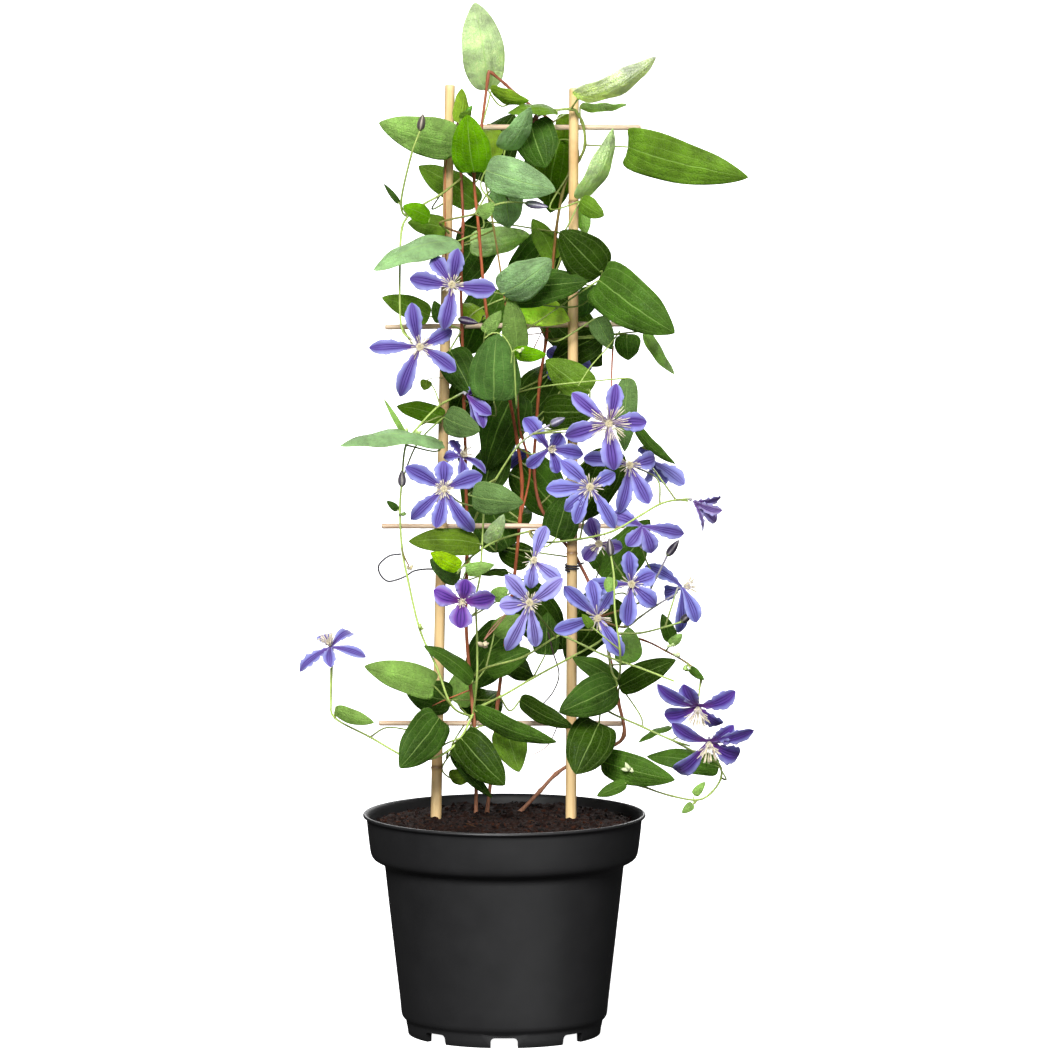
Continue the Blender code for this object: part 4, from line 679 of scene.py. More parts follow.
pot = rings("pot_shell", scaled(POT_PROFILE), POT_SIDES)
cutters = []
for i in range(FOOT_NOTCHES):
    angle = math.tau * i / FOOT_NOTCHES - math.pi / 2
    bpy.ops.mesh.primitive_cube_add(size=1.0)
    notch = named("notch")
    notch.scale = (15.0 * MM, 18.0 * MM, 13.6 * MM)
    notch.rotation_euler = (0.0, 0.0, angle)
    notch.location = Vector((math.cos(angle), math.sin(angle), 0.0)) * 63.0 * MM
    bpy.ops.object.transform_apply(location=True, rotation=True, scale=True)
    apply(notch, "BEVEL", width=2.6 * MM, segments=4)
    cutters.append(notch)
for i in range(DRAIN_HOLES):
    angle = math.tau * (i + 0.5) / DRAIN_HOLES
    place = Vector((math.cos(angle), math.sin(angle), 0.0)) * 44.0 * MM
    bpy.ops.mesh.primitive_cylinder_add(vertices=24, radius=5.0 * MM, depth=20.0 * MM, location=place)
    bpy.ops.object.transform_apply(location=True, rotation=True, scale=True)
    cutters.append(named("drain"))
cutter = joined("pot_cutter", cutters)
apply(pot, "BOOLEAN", operation="DIFFERENCE", object=cutter, solver="EXACT")
bpy.data.objects.remove(cutter)
bpy.ops.mesh.primitive_cube_add(size=1.0, location=(0.0, -66.2 * MM, 0.0))
recess = named("recess")
recess.scale = (31.0 * MM, 3.0 * MM, 19.0 * MM)
bpy.ops.object.transform_apply(location=True, rotation=True, scale=True)
apply(pot, "BOOLEAN", operation="DIFFERENCE", object=recess, solver="EXACT")
bpy.data.objects.remove(recess)
pot.data.transform(Matrix.Translation((POT_AXIS, 0.0, 0.0)))
tidy(pot, 35)

# Satin black polypropylene, IOR 1.49: a fine spark-eroded grain and a faint mottle.
plastic, tree, shader = new_finish("satin_black_polypropylene", IOR=1.49, Specular_IOR_Level=0.5)
place = add(tree, "TexCoord").outputs["Object"]
haze = add(tree, "TexNoise", {"Vector": place, "Scale": 45.0, "Detail": 5.0, "Roughness": 0.6})
grain = add(tree, "TexNoise", {"Vector": place, "Scale": 2600.0, "Detail": 2.0})
shade = add(tree, "Mix", {0: haze.outputs[0], 6: colour("#1c1c1d"), 7: colour("#242425")}, data_type="RGBA")
tree.links.new(shade.outputs[2], shader.inputs["Base Color"])
rough = add(tree, "MapRange", {"Value": haze.outputs[0], "To Min": 0.38, "To Max": 0.56})
tree.links.new(rough.outputs[0], shader.inputs["Roughness"])
relief = add(tree, "Bump", {"Height": grain.outputs[0], "Strength": 0.25, "Distance": 0.06 * MM})
tree.links.new(relief.outputs[0], shader.inputs["Normal"])
clothe(pot, plastic)
settle(pot, "black_plastic", "pot")

# %% [markdown]
# ## The soil
# Peat potting soil, filled to a finger's breadth under the rim: dark brown, uneven, with crumbs from dust to
# peas, reddish bits of bark and pale fibres. The bed is a disc inset ring by ring and displaced twice.
# Crumbs and fibres are copies of one crumb and one fibre laid on it.

# %% The soil
SOIL_RADIUS = 89.4
SOIL_EDGE = 140.4
bed = rings("soil_bed", scaled([(62.0, 7.0), (66.3, 15.0), (77.6, 113.4), (86.2, 121.6), (88.2, 130.0),
                                (SOIL_RADIUS, SOIL_EDGE)]), 96, caps=(True, True))
only(bed)
bpy.ops.object.mode_set(mode="EDIT")
bpy.ops.mesh.select_mode(type="FACE")
bpy.ops.object.mode_set(mode="OBJECT")
for face in bed.data.polygons:
    face.select = len(face.vertices) > 4 and face.center.z > 0.1
bpy.ops.object.mode_set(mode="EDIT")
for _ in range(28):
    bpy.ops.mesh.inset(thickness=3.1 * MM)
bpy.ops.mesh.select_mode(type="VERT")
bpy.ops.object.mode_set(mode="OBJECT")
top = bed.vertex_groups.new(name="top")
top.add([vert.index for vert in bed.data.vertices if math.hypot(*vert.co.xy) < 0.0885 and vert.co.z > 0.135],
        1.0, "REPLACE")
for vert in bed.data.vertices:
    if vert.co.z > 0.135:
        vert.co.z += 3.9 * MM * min(1.0, (0.0894 - math.hypot(*vert.co.xy)) / 0.0094)
apply(bed, "SUBSURF", subdivision_type="SIMPLE", levels=1)
for size, strength in ((17.0, 4.6), (5.5, 4.6), (1.9, 2.4)):
    lumps = bpy.data.textures.new("lumps", "CLOUDS")
    lumps.noise_scale = size * MM
    lumps.noise_depth = 2
    apply(bed, "DISPLACE", texture=lumps, texture_coords="LOCAL", strength=strength * MM, direction="Z",
          mid_level=0.5, vertex_group="top")
bed.data.transform(Matrix.Translation((POT_AXIS, 0.0, 0.0)))
tidy(bed, 180)
ground = BVHTree.FromPolygons([v.co for v in bed.data.vertices], [f.vertices for f in bed.data.polygons])


def on_soil(reach=0.087):
    """A chance point on the soil."""
    spread = reach * math.sqrt(random.random())
    turn = random.uniform(0, math.tau)
    above = Vector((POT_AXIS + spread * math.cos(turn), spread * math.sin(turn), 0.2))
    return ground.ray_cast(above, Vector((0, 0, -1)))[0]


bpy.ops.mesh.primitive_ico_sphere_add(subdivisions=1, radius=1.0)
crumb = named("crumb")
clouds, tones = [], []
for i in range(1500):
    size = random.choice((0.5, 0.7, 0.9, 1.2, 1.6, 2.2)) * random.uniform(0.7, 1.2) * MM
    turn = np.array(Vector((1, 0, 0)).rotation_difference(Vector([random.gauss(0, 1) for _ in range(3)])).to_matrix())
    cloud = points_of(crumb) * np.array([1.0, random.uniform(0.5, 1.0), random.uniform(0.4, 0.8)])
    cloud += np.random.default_rng(i).normal(0, 0.14, cloud.shape)
    clouds.append(cloud @ turn.T * size + np.array(on_soil()))
    tone = random.choice(("#0f0604", "#190a06", "#240f09", "#30160c", "#422212", "#0a0403"))
    tones.append(colour(tone))
crumbs = copies("soil_crumbs", crumb, clouds, tones)
crumbs.data.shade_flat()
bpy.data.objects.remove(crumb)

fibre_tubes = []
for i in range(70):
    start = on_soil()
    heading = Vector((random.gauss(0, 1), random.gauss(0, 1), random.uniform(-0.1, 0.35))).normalized()
    bend = Vector((random.gauss(0, 1), random.gauss(0, 1), 0.4)) * 0.8 * MM
    reach = random.uniform(3.0, 10.0) * MM
    route = [start, start + heading * reach * 0.5 + bend, start + heading * reach]
    thin = random.uniform(0.12, 0.3) * MM
    fibre_tubes.append(tube("fibre", smooth_route(route, reach / 4), [thin] * 9, 4))
    paint(fibre_tubes[-1], [colour(random.choice(("#3f2918", "#533921", "#2c190e")))]
          * len(fibre_tubes[-1].data.vertices))
fibres = joined("soil_fibres", fibre_tubes)

# Damp peat: its colour follows its relief, nearly black where the surface lies low and reddish brown where it rises.
peat, tree, shader = new_finish("damp_peat_soil", Roughness=0.95, IOR=1.4, Specular_IOR_Level=0.25)
place = add(tree, "TexCoord").outputs["Object"]
bits = add(tree, "TexNoise", {"Vector": place, "Scale": 420.0, "Detail": 8.0, "Roughness": 0.75})
ramp = add(tree, "ValToRGB", {0: bits.outputs[0]})
ramp.color_ramp.elements[0].position = 0.38
ramp.color_ramp.elements[0].color = colour("#060201")
ramp.color_ramp.elements[1].position = 0.68
ramp.color_ramp.elements[1].color = colour("#2f180e")
tree.links.new(ramp.outputs[0], shader.inputs["Base Color"])
relief = add(tree, "Bump", {"Height": bits.outputs[0], "Strength": 0.9, "Distance": 0.8 * MM})
tree.links.new(relief.outputs[0], shader.inputs["Normal"])
clothe(bed, peat)

# Bits of bark and root fibre, each with its own tone.
bark_bits, tree, shader = new_finish("peat_crumb", Roughness=0.9, IOR=1.4, Specular_IOR_Level=0.3)
place = add(tree, "TexCoord").outputs["Object"]
bits = add(tree, "TexNoise", {"Vector": place, "Scale": 900.0, "Detail": 4.0})
tone = add(tree, "Attribute", attribute_name="tone").outputs["Color"]
shade = add(tree, "Mix", {0: 0.6, 6: tone, 7: bits.outputs[0]}, data_type="RGBA", blend_type="MULTIPLY")
tree.links.new(shade.outputs[2], shader.inputs["Base Color"])
clothe(crumbs, bark_bits)
clothe(fibres, bark_bits)
settle(bed, "peat_soil", "soil")
settle(crumbs, "peat_soil")
settle(fibres, "peat_soil")

# %% [markdown]
# ## The trellis
# Two tonkin canes with their swollen nodes, sawn off at the top so that the hollow shows, and four thin
# bars split from a thicker cane, pale and rough where they tore. A cane is a circle drawn up ring by ring,
# with a ridge and a groove at each node. The streaks of the skin run along the cane, and the nodes are
# darker.


# %% The trellis
def laid_between(obj, start, end):
    """Lays a body that was drawn up along Z between two points. Returns its heights along itself."""
    along = points_of(obj)[:, 2].copy()
    turn = (end - start).to_track_quat("Z", "X").to_matrix().to_4x4()
    obj.data.transform(Matrix.Translation(start) @ turn)
    return along


def cane_line(cane):
    """The cane's foot on the soil and its top."""
    return (seen_at((*cane[end], TRELLIS_NEARNESS)) for end in ("foot", "top"))


def cane_radius(cane, height):
    """The cane's plain radius at this height."""
    foot, top = cane_line(cane)
    bottom = foot.z - 105.0 * MM
    return (3.75 - 0.45 * (height - bottom) / (top.z - bottom)) * MM


canes = {}
for name, cane in CANES.items():
    foot, top = cane_line(cane)
    start = foot - (top - foot).normalized() * 20.0 * MM
    length = (top - start).length
    low = cane_radius(cane, start.z) / MM
    high = cane_radius(cane, top.z) / MM
    nodes = [20.0 + cane["first_node"] + 118.0 * i for i in range(8)]
    nodes = [node for node in nodes if node < length / MM - 6.0]
    heights = sorted({i * 6.0 for i in range(int(length / MM / 6.0) + 1)}
                     | {node + step for node in nodes for step in (-3, -1.6, -0.8, -0.2, 0.3, 0.9, 2, 4)})
    profile = []
    for height in heights:
        radius = low + (high - low) * height * MM / length
        for node in nodes:
            apart = height - node
            radius += 0.42 * math.exp(-((apart + 0.8) / 0.9) ** 2) - 0.16 * math.exp(-((apart - 0.3) / 0.4) ** 2)
            radius += 0.16 * math.exp(-((apart - 1.6) / 1.1) ** 2)
        profile.append((radius, height))
    end = length / MM
    profile = [pair for pair in profile if pair[1] < end - 0.6]
    profile += [(high - 0.02, end - 0.4), (high - 0.3, end), (1.7, end), (1.45, end - 0.5), (1.4, end - 14.0)]
    stick = rings(name + "_stick", scaled(profile), 28)
    along = laid_between(stick, start, top)
    rng = np.random.default_rng(len(name))
    tones = np.zeros((len(along), 4))
    for node in nodes:
        tones[:, 0] = np.maximum(tones[:, 0], np.exp(-(((along / MM - node) / 1.3) ** 2)))
        tones[:, 1] = np.maximum(tones[:, 1], np.exp(-(((along / MM - node - 3) / 9) ** 2)))
    tones[:, 2] = along / length
    paint(stick, tones, "growth")
    canes[name] = (stick, foot, top)
    print(name, len(nodes), "nodes")

# Bamboo skin: a thin waxy straw layer, streaked along the cane and browner where it has weathered.
bamboo, tree, shader = new_finish("bamboo_cane_skin", IOR=1.5, Roughness=0.42)
place = add(tree, "TexCoord").outputs["Object"]
stretch = add(tree, "Mapping", {"Vector": place, "Scale": (900.0, 900.0, 14.0)})
streaks = add(tree, "TexNoise", {"Vector": stretch.outputs[0], "Scale": 1.0, "Detail": 6.0, "Roughness": 0.65})
patches = add(tree, "TexNoise", {"Vector": place, "Scale": 26.0, "Detail": 4.0, "Roughness": 0.6})
growth = add(tree, "SeparateColor", {0: add(tree, "Attribute", attribute_name="growth").outputs["Color"]})
straw = add(tree, "Mix", {0: streaks.outputs[0], 6: colour("#e4b270"), 7: colour("#ffe8b2")}, data_type="RGBA")
middle = add(tree, "MapRange", {"Value": growth.outputs[2], "From Min": 0.1, "From Max": 0.6,
                                "To Min": 0.0, "To Max": 0.1}, interpolation_type="SMOOTHSTEP")
weather = add(tree, "Math", {0: patches.outputs[0], 1: middle.outputs[0]}, operation="ADD")
brown = add(tree, "MapRange", {"Value": weather.outputs[0], "From Min": 0.56, "From Max": 0.86,
                               "To Max": 0.7}, interpolation_type="SMOOTHSTEP")
worn = add(tree, "Mix", {0: brown.outputs[0], 6: straw.outputs[2], 7: colour("#b87c46")}, data_type="RGBA")
halo = add(tree, "Math", {0: growth.outputs[1], 1: 0.35}, operation="MULTIPLY")
warm = add(tree, "Mix", {0: halo.outputs[0], 6: worn.outputs[2], 7: colour("#b5793f")}, data_type="RGBA")
ring = add(tree, "Math", {0: growth.outputs[0], 1: 0.8}, operation="MULTIPLY")
shade = add(tree, "Mix", {0: ring.outputs[0], 6: warm.outputs[2], 7: colour("#5a3a22")}, data_type="RGBA")
tree.links.new(shade.outputs[2], shader.inputs["Base Color"])
relief = add(tree, "Bump", {"Height": streaks.outputs[0], "Strength": 0.35, "Distance": 0.15 * MM})
tree.links.new(relief.outputs[0], shader.inputs["Normal"])
for name, (stick, _, _) in canes.items():
    clothe(stick, bamboo)
    settle(stick, "bamboo", name)

# Split bamboo: pale pith, torn along its fibres, streaked with brown.
split, tree, shader = new_finish("split_bamboo_pith", IOR=1.5, Roughness=0.7)
place = add(tree, "TexCoord").outputs["Object"]
stretch = add(tree, "Mapping", {"Vector": place, "Scale": (30.0, 1500.0, 1500.0)})
streaks = add(tree, "TexNoise", {"Vector": stretch.outputs[0], "Scale": 1.0, "Detail": 6.0, "Roughness": 0.7})
ramp = add(tree, "ValToRGB", {0: streaks.outputs[0]})
ramp.color_ramp.elements[0].position = 0.3
ramp.color_ramp.elements[0].color = colour("#c58f66")
ramp.color_ramp.elements[1].position = 0.62
ramp.color_ramp.elements[1].color = colour("#fbe8cc")
tree.links.new(ramp.outputs[0], shader.inputs["Base Color"])
relief = add(tree, "Bump", {"Height": streaks.outputs[0], "Strength": 0.8, "Distance": 0.25 * MM})
tree.links.new(relief.outputs[0], shader.inputs["Normal"])
for name, (left, right) in BARS.items():
    height = seen_at((*left, TRELLIS_NEARNESS)).z
    behind = cane_radius(CANES["cane_left"], height) / MM + 2.3
    ends = [seen_at((*end, TRELLIS_NEARNESS - behind)) for end in (left, right)]
    length = (ends[1] - ends[0]).length / MM
    steps = [(1.0, 0.0), (1.7, 0.5), (1.95, 1.2)]
    steps += [(1.93, 4.0 + i * (length - 8.0) / 40) for i in range(41)]
    steps += [(1.9, length - 1.2), (1.6, length - 0.5), (0.9, length)]
    bar = rings(name + "_split", scaled(steps), 14)
    places = points_of(bar)
    rng = np.random.default_rng(len(name) + int(left[1]))
    rough = 1.0 - 0.07 * rng.random(len(places))
    places[:, 0] *= rough * 0.96
    places[:, 1] *= rough * 0.9
    bar.data.vertices.foreach_set("co", places.reshape(-1))
    laid_between(bar, *ends)
    clothe(bar, split)
    settle(bar, "split_bamboo", name)


def turn_point(radius, degrees, height):
    """A point on a ring round the upright axis, from the side away from the viewer."""
    angle = math.radians(degrees)
    return Vector((radius * math.sin(angle), radius * math.cos(angle), height))


# Tie wire in a dark plastic coat, IOR 1.5.
wire, tree, shader = new_finish("coated_tie_wire", IOR=1.5, Roughness=0.42, Base_Color=colour("#37353c"))
for name, tie in TIES.items():
    cane = CANES[tie["cane"]]
    foot, top = cane_line(cane)
    height = seen_at((MIDDLE_PIXEL, TIE_ROW, TRELLIS_NEARNESS)).z
    centre = foot.lerp(top, (height - foot.z) / (top.z - foot.z))
    ring = cane_radius(cane, height) + 0.95 * MM
    (first, last), (low, high) = tie["turns"], tie["climb"]
    steps = round((last - first) / 12)
    route = [centre + turn_point(ring, first + (last - first) * i / steps, (low + (high - low) * i / steps) * MM)
             for i in range(steps + 1)]
    if name == "tie_left":
        route = smooth_route([seen_at(place) for place in LOOSE_LOOP] + [route[0]], 1.5 * MM) + route[1:]
    else:
        route += [route[-1] + Vector((1.6, -1.2, 0.1)) * MM, route[-1] + Vector((3.2, -2.6, 0.6)) * MM]
    turns = tube(name + "_wire", route, [0.62 * MM] * len(route), 10)
    clothe(turns, wire)
    settle(turns, "tie_wire", name)

# %% [markdown]
# ## Where the leaves and the stalks of the frame stand
# In the frame a leaf may have leaned or stepped back to clear its neighbours, and a stalk may have taken
# a bend. Each is found again by trying the same ways in the same order against the frame's surface, so
# that the fine leaf lies in the place of the plain one.


# %% Where the leaves and the stalks of the frame stand
def blade_axes(base, tip, facing, roll=0.0):
    """The blade's length, and its directions along the rib, to the side and out of its face."""
    rib = (tip - base).normalized()
    face = (facing - rib * facing.dot(rib)).normalized()
    face.rotate(Matrix.Rotation(math.radians(roll), 3, rib))
    return (tip - base).length, rib, rib.cross(face), face


def leaf_cloud(u, v, base, tip, width, roll, seed=0.0, lively=1.0, lobes=0.2):
    """The leaf's points at (u, v): oval, heart-shaped at its foot, arched, folded, quilted and waved."""
    length, rib, side, face = blade_axes(base, tip, (EYE - base).normalized(), roll)
    width = width * MM
    foot = 0.42 + lively * (0.07 + 0.07 * math.sin(23 * seed) + (0.2 if seed == 0.0 else 0.0))
    peak = foot / (foot + 0.8)
    half = width / 2 * (u / peak) ** foot * (np.clip(1 - u, 0, 1) / (1 - peak)) ** 0.8
    heart = lobes * length * v * v * u * (1 - u) ** 4 / 0.08
    arch = 0.1 * length * np.sin(math.pi * u) - 0.05 * length * u
    fold = 0.24 * half * (np.sqrt(v * v + 0.03 * lively) - math.sqrt(0.03 * lively)) / (1 - 0.158 * lively)
    quilt = 0.03 * half * np.sin(math.pi * v / 0.38) ** 2 * (np.abs(v) < 0.76)
    wave = 0.05 * width * np.abs(v) ** 3 * np.sin(math.tau * (2.3 * u + seed)) * np.sin(math.pi * u)
    wave += 0.012 * width * v * np.sin(math.tau * (1.1 * u + 2 * seed))
    rise = arch - fold + lively * (quilt + wave)
    return (np.array(base) + np.outer(u * length - heart, rib) + np.outer(half * v, side)
            + np.outer(rise, face))


def leaf_poses(row):
    """The ways that this leaf may stand, the first being as drawn."""
    base_column, base_row, tip_column, tip_row, nearness, nearer, width, roll = row
    for shift in LEAF_SHIFTS:
        for lean in LEAF_LEANS:
            base = seen_at((base_column, base_row, nearness + shift))
            yield base, seen_at((tip_column, tip_row, nearness + shift + nearer + lean)), width, roll


def tree_of(node):
    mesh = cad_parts[node].data
    return BVHTree.FromPolygons([v.co for v in mesh.vertices], [f.vertices for f in mesh.polygons])


def gap_to(tree, points):
    """The farthest that any of these points lies from the surface."""
    return max(tree.find_nearest(Vector(point))[3] for point in points)


TREES = {name: tree_of(name) for name in STEMS}
PROBE = np.array([(0.22, -1), (0.22, 1), (0.6, -1), (0.6, 1), (1.0, 0)], dtype=float)


def standing_leaf(row):
    """The stem, the base, the tip, the width and the roll of this leaf as it stands in the frame."""
    for pose in leaf_poses(row):
        points = leaf_cloud(PROBE[:, 0], PROBE[:, 1], *pose, lively=0.0)
        for name, tree in TREES.items():
            if gap_to(tree, points) < 0.6 * MM:
                return name, pose
    return None, next(leaf_poses(row))


JOINTS = []
for name, routes in STEMS.items():
    JOINTS += [(seen_at(place), name) for place in routes[0][1][2:]]
    for _, shoot in routes[1:]:
        JOINTS += [(seen_at(place), name) for place in shoot[1:-1]]


def stalk_ways(end, into):
    """The ways that a stalk may take from a joint to this end, where it runs along into."""

    def farness(joint):
        return (joint[0] - start).length + 0.6 * max(0.0, joint[0].z - start.z)

    start = end - into * 6 * MM
    for joint, owner in sorted(JOINTS, key=farness)[:7]:
        if (end - joint).normalized().dot(into) > 0.35:
            yield [joint, end], owner
        back = end - into * (0.45 * (joint - end).length)
        for bend in STALK_BENDS:
            yield [joint, joint.lerp(back, 0.6) + Vector(bend) * MM, end], owner


def standing_stalk(end, into):
    """The stalk's route as it stands in the frame, or the shortest way, and its stem."""
    ways = list(stalk_ways(end, into))
    for route, owner in ways:
        points = [a.lerp(b, t) for a, b in zip(route, route[1:]) for t in (0.2, 0.4, 0.6, 0.8)]
        if gap_to(TREES[owner], points) < 0.8 * MM:
            return route, owner, True
    return *ways[0], False


leaves, petioles = [], []
lost_leaves, lost_stalks = [], []
for number, row in enumerate(LEAVES):
    owner, pose = standing_leaf(row)
    if owner is None:
        lost_leaves.append(number + 1)
    base, tip, width, roll = pose
    aim = PROBE[:1] if width <= SMALL_LEAF else np.array([[0.22, 0.0]])
    into = Vector(leaf_cloud(aim[:, 0], aim[:, 1], *pose, lively=0.0)[0]) - base
    route, stem, found = standing_stalk(base, into.normalized())
    if not found:
        lost_stalks.append(number + 1)
    if number + 1 in STALK_ROUTES:
        stem, places = STALK_ROUTES[number + 1]
        route = [seen_at(place) for place in places] + [base]
    lobes = HEART_FOOT if number + 1 in HEART_LEAVES else ROUND_FOOT
    leaves.append((owner or stem, pose, LEAF_LETTERS[number], number * 0.37, lobes))
    petioles.append((stem, route, into.normalized(), 0.6))
print("leaves not found in the frame:", lost_leaves, "stalks not found:", lost_stalks)

# %% [markdown]
# ## The leaf
# A clematis leaf: leathery, heart-shaped at the foot and pointed, with five veins that run from the foot
# to the tip and a fine net between them. The upper side is dark and waxy, the underside paler and matt,
# and the blade glows a little when light falls through it. One blade is modelled as a grid whose columns
# lie on the veins, then each copy is bent over its own midrib and thickened.


# %% The leaf
def blade_template(name, rows, columns):
    """A flat blade, u along x and v across y, drawn to a point at both ends."""
    bpy.ops.object.select_all(action="DESELECT")
    bpy.ops.mesh.primitive_grid_add(x_subdivisions=rows, y_subdivisions=len(columns) - 1, size=2.0)
    obj = named(name)
    places = points_of(obj)
    even = np.linspace(-1, 1, len(columns))
    u = (places[:, 0] + 1) / 2
    u = 0.35 * u + 0.65 * (0.5 - 0.5 * np.cos(math.pi * u))
    v = np.interp(places[:, 1], even, columns)
    spread = np.empty(len(obj.data.loops) * 2)
    corners = np.empty(len(obj.data.loops), dtype=np.int32)
    obj.data.loops.foreach_get("vertex_index", corners)
    spread = np.stack([u[corners], (v[corners] + 1) / 2], axis=1)
    obj.data.uv_layers[0].data.foreach_set("uv", spread.reshape(-1))
    v[(u < 1e-6) | (u > 1 - 1e-6)] = 0.0
    obj.data.vertices.foreach_set("co", np.stack([u, v, 0 * u], axis=1).reshape(-1))
    tidy(obj, 180)
    return turned(obj)


VEINS = [0, 0.095, 0.19, 0.285, 0.38, 0.475, 0.57, 0.665, 0.76, 0.88, 1.0]
leaf_template = blade_template("leaf_template", 20, [-v for v in VEINS[:0:-1]] + VEINS)
# Leaf tones, matched to how each leaf looks. Most are the leaf's own green, but the grey-green and silver tones g, h,
# k, p, s and w carry a painted sheen, and p, q, w and x are lightened as painted light for leaves that lie in shade.
LEAF_TONES_AND_PAINTED_LIGHT = {
    "d": "#304d05", "e": "#3e601c", "m": "#4d7222", "n": "#6e922a", "b": "#76b000", "c": "#4e7400",
    "o": "#668220", "v": "#5c843e", "k": "#6c8a50", "h": "#9dbf6a", "s": "#8bab58", "g": "#9cbc8a",
    "p": "#dbe8c4", "w": "#ffffff", "l": "#aed400", "y": "#95cb20", "q": "#98b834", "u": "#c6dea0",
    "x": "#e0f870",
}


def leaf_finish(name, upper):
    """The leaf's upper side or its underside: veins from its own UV, a net from its place."""
    material, tree, shader = new_finish(name, IOR=1.45, Specular_IOR_Level=0.12 if upper else 0.05)
    uv = add(tree, "SeparateXYZ", {0: add(tree, "TexCoord").outputs["UV"]})
    place = add(tree, "TexCoord").outputs["Object"]
    tone = add(tree, "Attribute", attribute_name="tone").outputs["Color"]
    wander = add(tree, "TexNoise", {"Vector": place, "Scale": 90.0, "Detail": 2.0})
    across = add(tree, "Math", {0: uv.outputs[1], 1: 2.0, 2: -1.0}, operation="MULTIPLY_ADD")
    stray = add(tree, "Math", {0: wander.outputs[0], 1: 0.12, 2: -0.06}, operation="MULTIPLY_ADD")
    bent = add(tree, "Math", {0: across.outputs[0], 1: stray.outputs[0]}, operation="ADD")
    side = add(tree, "Math", {0: bent.outputs[0]}, operation="ABSOLUTE")
    apart = add(tree, "Math", {0: side.outputs[0], 1: 0.19}, operation="PINGPONG")
    veins = add(tree, "MapRange", {"Value": apart.outputs[0], "From Min": 0.004, "From Max": 0.026,
                                   "To Min": 0.5, "To Max": 0.0}, interpolation_type="SMOOTHSTEP")
    rib = add(tree, "MapRange", {"Value": side.outputs[0], "From Min": 0.01, "From Max": 0.045,
                                 "To Min": 1.0, "To Max": 0.0}, interpolation_type="SMOOTHSTEP")
    veins = add(tree, "Math", {0: veins.outputs[0], 1: rib.outputs[0]}, operation="MAXIMUM")
    stray = add(tree, "Math", {0: wander.outputs[0], 1: 0.3, 2: uv.outputs[0]}, operation="MULTIPLY_ADD")
    slant = add(tree, "Math", {0: side.outputs[0], 1: -0.26, 2: stray.outputs[0]}, operation="MULTIPLY_ADD")
    twigs = add(tree, "Math", {0: slant.outputs[0], 1: 0.052}, operation="PINGPONG")
    twigs = add(tree, "MapRange", {"Value": twigs.outputs[0], "From Min": 0.002, "From Max": 0.014,
                                   "To Min": 0.1, "To Max": 0.0}, interpolation_type="SMOOTHSTEP")
    veins = add(tree, "Math", {0: veins.outputs[0], 1: twigs.outputs[0]}, operation="MAXIMUM")
    edges = add(tree, "Math", {0: across.outputs[0]}, operation="ABSOLUTE")
    rim = add(tree, "MapRange", {"Value": edges.outputs[0], "From Min": 0.95, "From Max": 0.99})
    cells = add(tree, "TexVoronoi", {"Vector": place, "Scale": 480.0}, feature="DISTANCE_TO_EDGE")
    net = add(tree, "MapRange", {"Value": cells.outputs[0], "From Min": 0.0, "From Max": 0.14,
                                 "To Min": 1.0, "To Max": 0.0}, interpolation_type="SMOOTHSTEP")
    clouds = add(tree, "TexNoise", {"Vector": place, "Scale": 60.0, "Detail": 6.0, "Roughness": 0.65})
    # A mottle that multiplies the leaf's tone and is lighter where the relief rises: partly the leaf's own mottle,
    # partly a painted light and shade on its quilting.
    mottle_and_painted_light = add(tree, "MapRange", {"Value": clouds.outputs[0], "From Min": 0.3, "From Max": 0.7,
                                    "To Min": 0.6, "To Max": 1.45})
    body = add(tree, "Mix", {0: 1.0, 6: tone, 7: mottle_and_painted_light.outputs[0]}, data_type="RGBA", blend_type="MULTIPLY")
    pale = add(tree, "Mix", {0: 0.0 if upper else 0.4, 6: body.outputs[2], 7: colour("#8fa98a")},
               data_type="RGBA")
    share = add(tree, "Math", {0: veins.outputs[0], 1: 0.4 if upper else 0.5}, operation="MULTIPLY")
    fine = add(tree, "Math", {0: net.outputs[0], 1: 0.06}, operation="MULTIPLY")
    lines = add(tree, "Math", {0: share.outputs[0], 1: fine.outputs[0]}, operation="MAXIMUM")
    edge = add(tree, "Math", {0: rim.outputs[0], 1: 0.25}, operation="MULTIPLY")
    lines = add(tree, "Math", {0: lines.outputs[0], 1: edge.outputs[0]}, operation="MAXIMUM")
    drawn = add(tree, "Mix", {0: lines.outputs[0], 6: pale.outputs[2], 7: colour("#bddc80")}, data_type="RGBA")
    tree.links.new(drawn.outputs[2], shader.inputs["Base Color"])
    rough = add(tree, "MapRange", {"Value": clouds.outputs[0], "To Min": 0.34 if upper else 0.6,
                                   "To Max": 0.52 if upper else 0.8})
    tree.links.new(rough.outputs[0], shader.inputs["Roughness"])
    sunk = add(tree, "Math", {0: veins.outputs[0], 1: net.outputs[0], 2: 0.0}, operation="MAXIMUM")
    depth = add(tree, "Math", {0: sunk.outputs[0], 1: -1.0 if upper else 1.0}, operation="MULTIPLY")
    height = add(tree, "Math", {0: clouds.outputs[0], 1: 1.5, 2: depth.outputs[0]}, operation="MULTIPLY_ADD")
    relief = add(tree, "Bump", {"Height": height.outputs[0], "Strength": 0.8, "Distance": 0.45 * MM})
    tree.links.new(relief.outputs[0], shader.inputs["Normal"])
    glow = add(tree, "Mix", {0: 1.0, 6: drawn.outputs[2], 7: (1.5, 1.7, 0.6, 1.0)}, data_type="RGBA",
               blend_type="MULTIPLY")
    through = add(tree, "BsdfTranslucent", {"Color": glow.outputs[2], "Normal": relief.outputs[0]})
    both = add(tree, "MixShader", {0: 0.3, 1: shader.outputs[0], 2: through.outputs[0]})
    tree.links.new(both.outputs[0], tree.nodes["Material Output"].inputs["Surface"])
    return material


